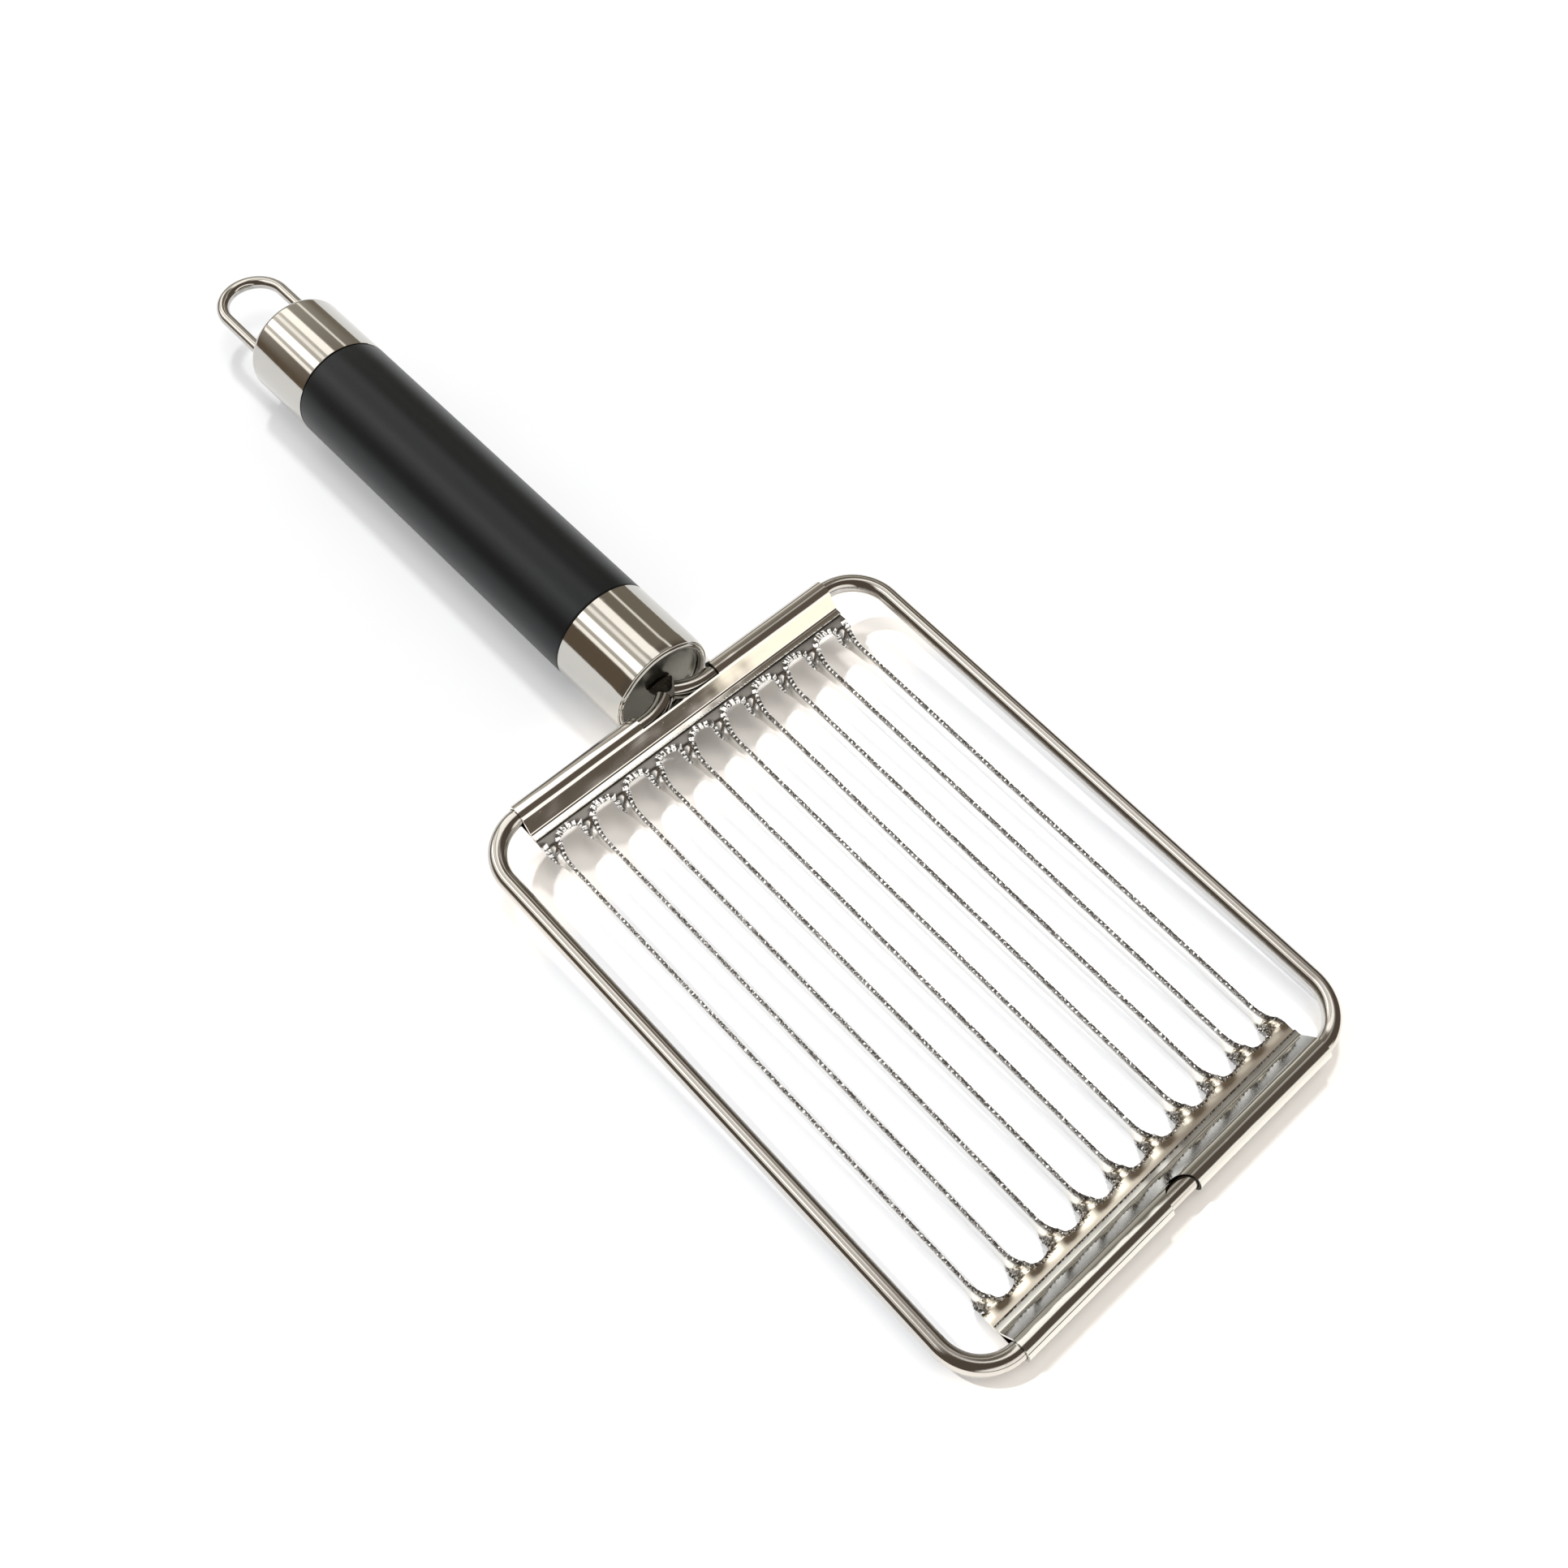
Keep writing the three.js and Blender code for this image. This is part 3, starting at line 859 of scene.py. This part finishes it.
def rail_line():
    """The sheet's middle line: from the web, round the rod and back to the flap."""
    flap_height = -WRAP_MIDDLE + SHEET + FOLD_GAP
    wrap = arc((0, 0), WRAP_MIDDLE, -90, -360 + math.degrees(SLOPE), 60)
    slope_x, slope_z = wrap[-1]
    corner = slope_x + (slope_z - flap_height) * math.tan(SLOPE)
    turn = PI / 2 - SLOPE
    back = FLAP_FILLET * math.tan(turn / 2)
    centre = (corner + back, flap_height + FLAP_FILLET)
    start = 180 + math.degrees(SLOPE)
    fillet = arc(centre, FLAP_FILLET, start, 270, 8)
    flap = [(FLAP_REACH - NOSE, flap_height), (FLAP_REACH - NOSE_ROUNDING, flap_height)]
    return [(WEB_START, -WRAP_MIDDLE), *wrap, *fillet, *flap]


def thickened(line, thickness):
    """A closed outline that keeps half the thickness on each side of the line, with softened ends."""
    line = np.array(line, float)
    ahead = np.diff(line, axis=0)
    ahead /= np.linalg.norm(ahead, axis=1)[:, None]
    tangent = np.vstack([ahead[0], ahead[:-1] + ahead[1:], ahead[-1]])
    tangent /= np.linalg.norm(tangent, axis=1)[:, None]
    normal = np.column_stack([-tangent[:, 1], tangent[:, 0]])
    one, other = line + normal * thickness / 2, line - normal * thickness / 2
    nose = line[-1] + tangent[-1] * NOSE_ROUNDING
    soft = normal[-1] * thickness * 0.3
    return [*one, nose + soft, nose - soft, *other[::-1]]


def rail(name, cutters, material, slope_shade, nose_shade):
    """The folded sheet along one short side, with painted shade on its slope and on the flap's end."""
    outline = thickened(rail_line(), SHEET)
    count = len(outline)
    stations = np.linspace(-RAIL_HALF, RAIL_HALF, 15)
    points = [(x, y, z) for y in stations for x, z in outline]
    faces = [list(range(count)), [count * (len(stations) - 1) + i for i in reversed(range(count))]]
    for k in range(len(stations) - 1):
        for i in range(count):
            j = (i + 1) % count
            faces.append([k * count + i, k * count + j, (k + 1) * count + j, (k + 1) * count + i])
    body = tidy_shell(mesh_object(name, points, faces))
    slope_start = WRAP_MIDDLE * math.cos(SLOPE)
    places = [v.co for v in body.data.vertices]
    # Painted shade on the slope and on the flap's end, as shares of the dark.
    shade_values = [slope_shade * (slope_start < p.x < slope_start + SLOPE_RUN) for p in places]
    nose = [nose_shade * (p.x > FLAP_REACH - NOSE / 2 and p.z > WEB_TOP + FOLD_GAP / 2) for p in places]
    store(body, "worn", shade_values)
    store(body, "rim", nose)
    body.data.materials.append(material)
    for cutter in cutters:
        cutter.data.materials.append(CUT_EDGE)
    return cut(body, cutters)


def block(x0, x1, half):
    """A cutter for a square notch, from x0 to x1."""
    bar = bmesh.new()
    bmesh.ops.create_cube(bar, size=1.0)
    made = from_bmesh("block", bar)
    middle = Matrix.Translation(((x0 + x1) / 2, 0, 0))
    made.data.transform(middle @ Matrix.Diagonal((x1 - x0, 2 * half, CUTTER_DEPTH, 1)))
    return made


def round_cutter(x, radius):
    """A cutter for a round-bottomed notch, upright at x."""
    bar = bmesh.new()
    bmesh.ops.create_cone(bar, cap_ends=True, segments=72, radius1=radius, radius2=radius, depth=CUTTER_DEPTH)
    made = from_bmesh("drill", bar)
    made.data.transform(Matrix.Translation((x, 0, 0)))
    return made


def near_rail():
    notch = block(OUTSIDE_WRAP, NEAR_NOTCH_EDGE, NEAR_NOTCH_HALF)
    return shade(placed(rail("near_rail", [notch], SHEET_STEEL, 0.0, 0.25), HEAD), 30)


def far_rail():
    centre = FAR_NOTCH_DEPTH - FAR_NOTCH_RADIUS
    cutters = [round_cutter(centre, FAR_NOTCH_RADIUS), block(OUTSIDE_WRAP, centre, FAR_NOTCH_RADIUS)]
    return shade(placed(rail("far_rail", cutters, FAR_STEEL, 0.6, 1.0), HEAD @ TO_FAR_END), 30)


# ---- Blades ----


def blade_turn(x):
    """How far the strip has turned from flat, in radians, along the head."""
    near = x - NEAR_SETBACK - BAY_DEPTH + TWIST_LEAD
    far = HEAD_LENGTH - FAR_SETBACK - BAY_DEPTH + TWIST_LEAD - x

    def turned_share(run, twist):
        start = np.clip(run / (2 * TWIST_LEAD), 0, 1) ** TWIST_START_POWER
        eased = 1 - (1 - np.clip(run / (twist + TWIST_LEAD), 0, 1)) ** TWIST_END_POWER
        return eased * start

    return np.minimum(turned_share(near, NEAR_TWIST), turned_share(far, FAR_TWIST)) * PI / 2


def end_distance(x):
    """Distance along the strip from the nearer slot end: below zero is the web."""
    return np.minimum(x - NEAR_SETBACK, HEAD_LENGTH - FAR_SETBACK - x)


def half_reach(x, flares):
    """Half the strip's width on a side that flares to the next strip, or on one that runs straight."""
    if not flares:
        return np.full_like(x, HALF_BLADE + TOOTH_REACH * (1 - np.clip(end_distance(x) / BAY_DEPTH, 0, 1)))
    share = np.clip(1 - end_distance(x) / BAY_DEPTH, 0, 1)
    bay = PITCH / 2 - HALF_BLADE
    return PITCH / 2 - bay * np.sqrt(np.clip(1 - share ** 2, 0, 1))


def sheet_point(x, across, mid_y):
    """A point of the sheet's middle surface, in head millimetres, and its normal."""
    turn = blade_turn(x)
    sink = (BLADE_HEIGHT - SHEET) / 2 * np.sin(turn)
    wave_share = np.clip(1 - np.abs(end_distance(x)) / (0.5 * (NEAR_RIM + BAY_DEPTH)), 0, 1)
    wave = -WEB_WAVE * np.sin(2 * PI * across / PITCH) * wave_share * (end_distance(x) < WAVE_END)
    y = mid_y + across * np.cos(turn)
    z = WEB_TOP - SHEET / 2 - sink + across * np.sin(turn) - wave
    normal = np.stack([np.zeros_like(x), -np.sin(turn), np.cos(turn)], -1)
    return np.stack([x, y, z], -1), normal


def strip_stations():
    ends = np.concatenate([
        np.linspace(WEB_START, NEAR_SETBACK, 9)[:-1],
        NEAR_SETBACK + BAY_DEPTH * (1 - np.cos(np.linspace(0, PI / 2, 10)))[:-1],
        np.linspace(NEAR_SETBACK + BAY_DEPTH, NEAR_SETBACK + BAY_DEPTH + NEAR_TWIST + 1, 18),
    ])
    far_start = HEAD_LENGTH - FAR_SETBACK
    far = np.concatenate([
        np.linspace(far_start - BAY_DEPTH - FAR_TWIST - 1, far_start - BAY_DEPTH, 16),
        far_start - BAY_DEPTH * (1 - np.cos(np.linspace(PI / 2, 0, 10)))[1:],
        np.linspace(far_start, HEAD_LENGTH - WEB_START, 9)[1:],
    ])
    middle = np.linspace(ends[-1], far[0], 22)[1:-1]
    return np.concatenate([ends, middle, far])


def rim_share(x, across, left, right):
    """1 on the coined band along the slots and on the low side of the far roots, where it is painted shade,
    and 0 on the plain sheet.
    """
    near, far = NEAR_SETBACK, HEAD_LENGTH - FAR_SETBACK
    line_x = np.concatenate([
        np.linspace(near, near + BAY_DEPTH, 40),
        np.linspace(near + BAY_DEPTH, far - BAY_DEPTH, 160),
        np.linspace(far - BAY_DEPTH, far, 40),
    ])
    low = np.column_stack([line_x, -half_reach(line_x, left)])[end_distance(line_x) < LOW_EDGE_TEETH]
    high = np.column_stack([line_x, half_reach(line_x, right)])
    line = np.vstack([low, high])
    points = np.column_stack([x, across])
    gap = np.sqrt(((points[:, None, :] - line[None, :, :]) ** 2).sum(-1)).min(1)
    reach = np.where(x > HEAD_LENGTH / 2, FAR_RIM_IN_WEB, NEAR_RIM_IN_WEB)
    in_web = np.clip(1 + end_distance(x) / reach, 0, 1)
    band = np.clip((RIM_BAND - gap) / RIM_FADE, 0, 1) * in_web
    from_far = far - x
    # Painted shade on the low side of each far root.
    root = (from_far > FAR_ROOT_START) & (from_far < FAR_ROOT) & (across < FAR_ROOT_EDGE)
    return np.maximum(band, root)


def root_shade(x, across):
    """Painted shade: dark on the near web and on the low side of each strip's near root, fading along it."""
    fade = np.clip(1 - (x - NEAR_SETBACK) / NEAR_ROOT, 0, 1)
    low_side = np.clip(0.5 - across / 0.8, 0, 1)
    return np.where(x < NEAR_SETBACK + BAY_DEPTH, WEB_SHADE, ROOT_SHADE * fade * low_side)


def blade(name, left, right):
    """One strip with its two roots: left and right say which sides flare to a next strip.

    A side that flares is left open along the web, where the next strip joins it.
    """
    x = strip_stations()
    low, high = -half_reach(x, left), half_reach(x, right)
    shares = np.array([0, 0.05, 0.14, 0.24, 0.27, 0.4, 0.5, 0.6, 0.73, 0.76, 0.86, 0.95, 1.0])
    columns = len(shares)
    grid_x = np.repeat(x[:, None], columns, 1)
    across = low[:, None] + (high - low)[:, None] * shares[None, :]
    place, normal = sheet_point(grid_x, across, 0.0)
    thin = SHEET / 2 * np.where((shares == 0) | (shares == 1), 0.72, 1.0)[None, :, None]
    in_web = (end_distance(grid_x) <= 1e-6)[..., None]
    thin = np.where(in_web, SHEET / 2, thin)
    top = (place + normal * thin).reshape(-1, 3)
    bottom = (place - normal * thin).reshape(-1, 3)
    rows = len(x)
    count = rows * columns
    faces = []
    for i in range(rows - 1):
        for j in range(columns - 1):
            a = i * columns + j
            b = a + columns
            faces.append([a, b, b + 1, a + 1])
            faces.append([count + a, count + a + 1, count + b + 1, count + b])
        web_here = end_distance((x[i] + x[i + 1]) / 2) < 0
        for column, flares in ((0, left), (columns - 1, right)):
            if web_here and flares:
                continue
            a = i * columns + column
            b = a + columns
            wall = [a, count + a, count + b, b]
            faces.append(wall if column == 0 else wall[::-1])
    for row in (0, rows - 1):
        for j in range(columns - 1):
            a = row * columns + j
            wall = [a, a + 1, count + a + 1, count + a]
            faces.append(wall if row == 0 else wall[::-1])
    made = mesh_object(name, np.vstack([top, bottom]), faces)
    grid_x, across = grid_x.ravel(), across.ravel()
    # The coined band and the painted shade of the far roots, then the painted shade of the near web and
    # roots.
    rim = rim_share(grid_x, across, left, right)
    shade_values = root_shade(grid_x, across)
    store(made, "rim", np.concatenate([rim, rim]))
    store(made, "worn", np.concatenate([shade_values, shade_values]))
    return made


def blade_row_tree():
    tree, bench, given = group_tree("blade_row", [
        ("First blade", "NodeSocketObject"),
        ("Inner blade", "NodeSocketObject"),
        ("Last blade", "NodeSocketObject"),
        ("Blades", "NodeSocketInt"),
        ("Pitch", "NodeSocketFloat"),
        ("Finish", "NodeSocketMaterial"),
    ])

    def shape(label):
        return bench.node("GeometryNodeObjectInfo", {}, {"Object": given[label]}, output="Geometry")

    reach = (given["Blades"] - 1) * given["Pitch"] / 2
    start = bench.node("ShaderNodeCombineXYZ", {}, {"Y": given["Pitch"] - reach})
    step = bench.node("ShaderNodeCombineXYZ", {}, {"Y": given["Pitch"]})
    line = bench.node(
        "GeometryNodeMeshLine", {"mode": "OFFSET"},
        {"Count": given["Blades"] - 2, "Start Location": start, "Offset": step},
    )
    inner = bench.node("GeometryNodeInstanceOnPoints", {}, {"Points": line, "Instance": shape("Inner blade")})
    low = bench.node("ShaderNodeCombineXYZ", {}, {"Y": 0 - reach})
    high = bench.node("ShaderNodeCombineXYZ", {}, {"Y": reach})
    first = bench.node("GeometryNodeTransform", {}, {"Geometry": shape("First blade"), "Translation": low})
    last = bench.node("GeometryNodeTransform", {}, {"Geometry": shape("Last blade"), "Translation": high})
    join = tree.nodes.new("GeometryNodeJoinGeometry")
    for part in (inner, first, last):
        tree.links.new(part.socket, join.inputs[0])
    row = bench.node("GeometryNodeRealizeInstances", {}, {"Geometry": Term(bench, join.outputs[0])})
    row = bench.node("GeometryNodeMergeByDistance", {}, {"Geometry": row, "Distance": 0.002})
    row = bench.node("GeometryNodeSetMaterial", {}, {"Geometry": row, "Material": given["Finish"]})
    bench.node("NodeGroupOutput", {}, {"Geometry": row})
    return tree


def blade_row():
    shapes = {
        "First blade": blade("first_blade", False, True),
        "Inner blade": blade("inner_blade", True, True),
        "Last blade": blade("last_blade", True, False),
    }
    values = {**shapes, "Blades": BLADES, "Pitch": PITCH, "Finish": BLADE_STEEL}
    row = run_tree(mesh_object("row_seed", [(0, 0, 0)]), blade_row_tree(), values, "blade_row")
    for made in shapes.values():
        bpy.data.objects.remove(made)
    return shade(placed(tidy_shell(row, 1e-3), HEAD, BLADE_STEEL), 35)


# ---- Serration ----


def tooth():
    """One pressed tooth of unit size: x along the edge, y into the sheet, z out of its face."""
    corners = [
        (-0.5, 0.05, 0.0), (0.5, 0.05, 0.0), (-0.5, 0.05, -1.0), (0.5, 0.05, -1.0),
        (-0.36, -0.12, -0.3), (0.36, -0.12, -0.3), (-0.36, -0.12, -0.75), (0.36, -0.12, -0.75),
        (-0.32, 0.12, 0.3), (0.32, 0.12, 0.3), (-0.36, 0.7, 0.26), (0.36, 0.7, 0.26),
        (-0.44, 0.95, -0.04), (0.44, 0.95, -0.04), (-0.44, 0.9, -0.4), (0.44, 0.9, -0.4),
    ]
    solid = bmesh.new()
    for corner in corners:
        solid.verts.new(corner)
    bmesh.ops.convex_hull(solid, input=solid.verts)
    loose = [v for v in solid.verts if not v.link_faces]
    bmesh.ops.delete(solid, geom=loose, context="VERTS")
    return from_bmesh("tooth", solid)


def serration_tree():
    tree, bench, given = group_tree("serration", [
        ("Tooth", "NodeSocketObject"),
        ("Width", "NodeSocketFloat"),
        ("Length", "NodeSocketFloat"),
        ("Rise", "NodeSocketFloat"),
        ("Unevenness", "NodeSocketFloat"),
        ("Seed", "NodeSocketInt"),
        ("Finish", "NodeSocketMaterial"),
    ])
    vector = {"data_type": "FLOAT_VECTOR"}
    along = bench.node("GeometryNodeInputNamedAttribute", vector, {"Name": "along"})
    inward = bench.node("GeometryNodeInputNamedAttribute", vector, {"Name": "inward"})
    turn = bench.node(
        "FunctionNodeAxesToRotation", {"primary_axis": "X", "secondary_axis": "Y"},
        {"Primary Axis": along, "Secondary Axis": inward},
    )
    chance = tree.nodes.new("FunctionNodeRandomValue")
    chance.data_type = "FLOAT"
    tree.links.new((1 - given["Unevenness"]).socket, chance.inputs[2])
    tree.links.new((1 + given["Unevenness"]).socket, chance.inputs[3])
    tree.links.new(given["Seed"].socket, chance.inputs["Seed"])
    uneven = Term(bench, chance.outputs[1])
    uneven = uneven * bench.node("GeometryNodeInputNamedAttribute", {"data_type": "FLOAT"}, {"Name": "share"})
    size = bench.node("ShaderNodeCombineXYZ", {}, {
        "X": given["Width"] * uneven, "Y": given["Length"] * uneven, "Z": given["Rise"],
    })
    shape = bench.node("GeometryNodeObjectInfo", {}, {"Object": given["Tooth"]}, output="Geometry")
    teeth = bench.node("GeometryNodeInstanceOnPoints", {}, {
        "Points": given["Geometry"], "Instance": shape, "Rotation": turn, "Scale": size,
    })
    teeth = bench.node("GeometryNodeRealizeInstances", {}, {"Geometry": teeth})
    teeth = bench.node("GeometryNodeSetMaterial", {}, {"Geometry": teeth, "Material": given["Finish"]})
    bench.node("NodeGroupOutput", {}, {"Geometry": teeth})
    return tree


def edge_stations(mid_y, side, flares):
    """Places, edge directions and inward directions of the teeth on one edge of a blade."""
    x = np.concatenate([
        NEAR_SETBACK + BAY_DEPTH * (1 - np.cos(np.linspace(0.02, PI / 2, 30))),
        np.linspace(NEAR_SETBACK + BAY_DEPTH, HEAD_LENGTH - FAR_SETBACK - BAY_DEPTH, 600)[1:-1],
        HEAD_LENGTH - FAR_SETBACK - BAY_DEPTH * (1 - np.cos(np.linspace(PI / 2, 0.02, 30))),
    ])
    across = side * half_reach(x, flares)
    place, normal = sheet_point(x, across, mid_y)
    place = place + normal * SHEET / 2
    steps = np.linalg.norm(np.diff(place, axis=0), axis=1)
    length = np.concatenate([[0], np.cumsum(steps)])
    count = int(length[-1] // TOOTH_PITCH)
    wanted = (np.arange(count) + 0.5) * length[-1] / count
    if side < 0:
        wanted = wanted[end_distance(np.interp(wanted, length, x)) < LOW_EDGE_TEETH]

    def sampled(where, values):
        return np.stack([np.interp(where, length, column) for column in values.T], -1)

    nearby = 0.05
    at, face = sampled(wanted, place), sampled(wanted, normal)
    along = (sampled(wanted + nearby, place) - sampled(wanted - nearby, place)) * -side
    along /= np.linalg.norm(along, axis=1)[:, None]
    inward = np.cross(face, along)
    inward /= np.linalg.norm(inward, axis=1)[:, None]
    stretch = np.clip(end_distance(at[:, 0]) - BAY_DEPTH, 0, 1)
    stretch = np.where(at[:, 0] > HEAD_LENGTH / 2, 1.0, stretch)
    return at, along, inward, 1 - stretch * (1 - TOP_EDGE_SHARE)


def serration():
    rows = []
    for i in range(BLADES):
        mid_y = (i - (BLADES - 1) / 2) * PITCH
        rows.append(edge_stations(mid_y, -1, i > 0))
        rows.append(edge_stations(mid_y, 1, i < BLADES - 1))
    places, alongs, inwards, shares = zip(*rows)
    at = np.vstack(places)
    seed = mesh_object("tooth_places", at)
    for name, parts in (("along", alongs), ("inward", inwards)):
        values = np.vstack(parts).ravel()
        seed.data.attributes.new(name, "FLOAT_VECTOR", "POINT").data.foreach_set("vector", values)
    store(seed, "share", np.concatenate(shares))
    shape = tooth()
    values = {
        "Tooth": shape, "Width": TOOTH_WIDTH, "Length": TOOTH_LENGTH, "Rise": SHEET,
        "Unevenness": TOOTH_UNEVENNESS, "Seed": TOOTH_SEED, "Finish": TEETH,
    }
    teeth = run_tree(seed, serration_tree(), values, "serration")
    bpy.data.objects.remove(shape)
    return shade(placed(teeth, HEAD, TEETH), 15)


# ---- The slicer ----

keep(front_ferrule(), "ferrule_steel", "front_ferrule")
keep(tail_ferrule(), "ferrule_steel", "tail_ferrule")
keep(end_disc(), "disc_steel", "end_disc")
keep(grip(), "grip_black", "grip")
keep(hanging_loop(), "loop_steel", "hanging_loop")
keep(frame_rod(), "rod_steel", "frame_rod")
keep(weld_bead(), "weld_metal", "tang_weld")
keep(near_rail(), "sheet_steel", "blade_plate")
keep(far_rail(), "sheet_steel", "blade_plate")
keep(blade_row(), "sheet_steel", "blade_plate")
keep(serration(), "sheet_steel", "blade_plate")

for node, material in (
    ("tang_stud", INNER),
    ("loop_plate", INNER),
    ("front_plug", PLUG),
    ("tail_plug", PLUG),
):
    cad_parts[node].data.materials.clear()
    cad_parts[node].data.materials.append(material)

# ---- Table, light and camera ----

TABLE_HALF = 2.5
table = mesh_object(
    "table",
    [(-TABLE_HALF, -TABLE_HALF, 0), (TABLE_HALF, -TABLE_HALF, 0),
     (TABLE_HALF, TABLE_HALF, 0), (-TABLE_HALF, TABLE_HALF, 0)],
    [[0, 1, 2, 3]],
)
table.data.materials.append(TABLE)


# Each long light: where its glow starts and ends in degrees of lean to the side, its softness and its level.
LONG_LIGHTS = (
    (-22, -4.5, 1.5, 0.95),
    (2.5, 10, 2, 0.5),
    (19, 35, 1.5, 1.2),
    (42.5, 50, 1.2, 0.95),
    (-52, -47, 1, 0.65),
    (-4, 42, 3, 0.33),
)
PALE_GREY = (0.58, 0.575, 0.565)


def studio():
    """What the metal mirrors: long lights over the handle, a white wall past the head, brown dark elsewhere.

    Matt surfaces take an even pale grey instead, and the camera sees white.
    """
    world = bpy.data.worlds.new("studio")
    bpy.context.scene.world = world
    world.use_nodes = True
    tree = world.node_tree
    tree.nodes.clear()
    bench = Bench(tree)
    x, y, z = bench.parts(bench.node("ShaderNodeTexCoord", output="Generated"))
    lean = x.math("ARCTAN2", 0 - y, z) * (180 / PI)
    bank = sum(lean.band(start, end, soft) * level for start, end, soft, level in LONG_LIGHTS)
    bank = bank + lean.band(-46, -22, 4) * x.step(-0.28, -0.16) * 0.28
    bank = bank * x.band(-0.88, 0.0, 0.10) * 1.5
    wall = x.step(0.72, 0.82) * z.step(0.10, 0.17)
    low_wall = x.step(0.78, 0.85) * y.step(0.355, 0.385) * z.step(-0.1, 0.0)
    haze = x.band(-1.1, -0.7, 0.1) * z.band(0.25, 0.75, 0.15)
    light = bank + wall * 1.3 + haze * 0.3
    glow = bench.scaled(low_wall * (1 - wall) * 1.35, (1.0, 0.93, 0.78))
    room = bench.mix((0 - lean).step(-20, 10), colour(0.15, 0.115, 0.08), colour(0.24, 0.21, 0.165))
    room = bench.mix(x.step(-0.4, -0.22), room, colour(0.125, 0.10, 0.078))
    mirrored = bench.vector("ADD", bench.vector("ADD", room, glow), bench.scaled(light, (1.0, 0.985, 0.95)))
    glossy = bench.node("ShaderNodeLightPath", output="Is Glossy Ray")
    seen = bench.node("ShaderNodeLightPath", output="Is Camera Ray")
    fill = bench.mix(glossy, colour(*PALE_GREY), mirrored)
    shown = bench.mix(seen, fill, colour(1.0, 1.0, 1.0))
    background = bench.node("ShaderNodeBackground", {}, {"Color": shown, "Strength": 1.0})
    bench.node("ShaderNodeOutputWorld", {}, {"Surface": background})


def lamp(name, falls, energy, width, tint):
    """A soft distant lamp whose light falls along the given direction. It lights without being mirrored."""
    light = bpy.data.lights.new(name, "SUN")
    light.energy = energy
    light.angle = math.radians(width)
    light.color = tint
    made = bpy.data.objects.new(name, light)
    made.rotation_mode = "QUATERNION"
    made.rotation_quaternion = Vector(falls).to_track_quat("-Z", "Y")
    made.visible_glossy = False
    bpy.context.scene.collection.objects.link(made)


studio()
lamp("key", (0.51, 0.38, -1.0), 1.8, 2.5, (1.0, 1.0, 1.0))
lamp("second", (0.44, -0.28, -1.0), 1.2, 7, (1.0, 1.0, 1.0))
lamp("top", (-0.08, -0.03, -1.0), 0.9, 30, (1.0, 0.98, 0.95))

CAMERA_LENS = 41.32
CAMERA_PLACE = (0.15465, -0.11461, 0.28796)
CAMERA_AIM = (-0.3679, 0.3625, -0.8563)
CAMERA_UP = (-0.6355, 0.5742, 0.5162)

camera_data = bpy.data.cameras.new("camera")
camera_data.sensor_width = 36
camera_data.lens = CAMERA_LENS
camera = bpy.data.objects.new("camera", camera_data)
forward = Vector(CAMERA_AIM).normalized()
right = forward.cross(Vector(CAMERA_UP)).normalized()
upward = right.cross(forward)
turned_to = Matrix((right, upward, -forward)).transposed().to_4x4()
camera.matrix_world = Matrix.Translation(CAMERA_PLACE) @ turned_to
camera_data.clip_start = 0.01
bpy.context.scene.collection.objects.link(camera)
bpy.context.scene.camera = camera
bpy.context.scene.view_settings.view_transform = "Standard"
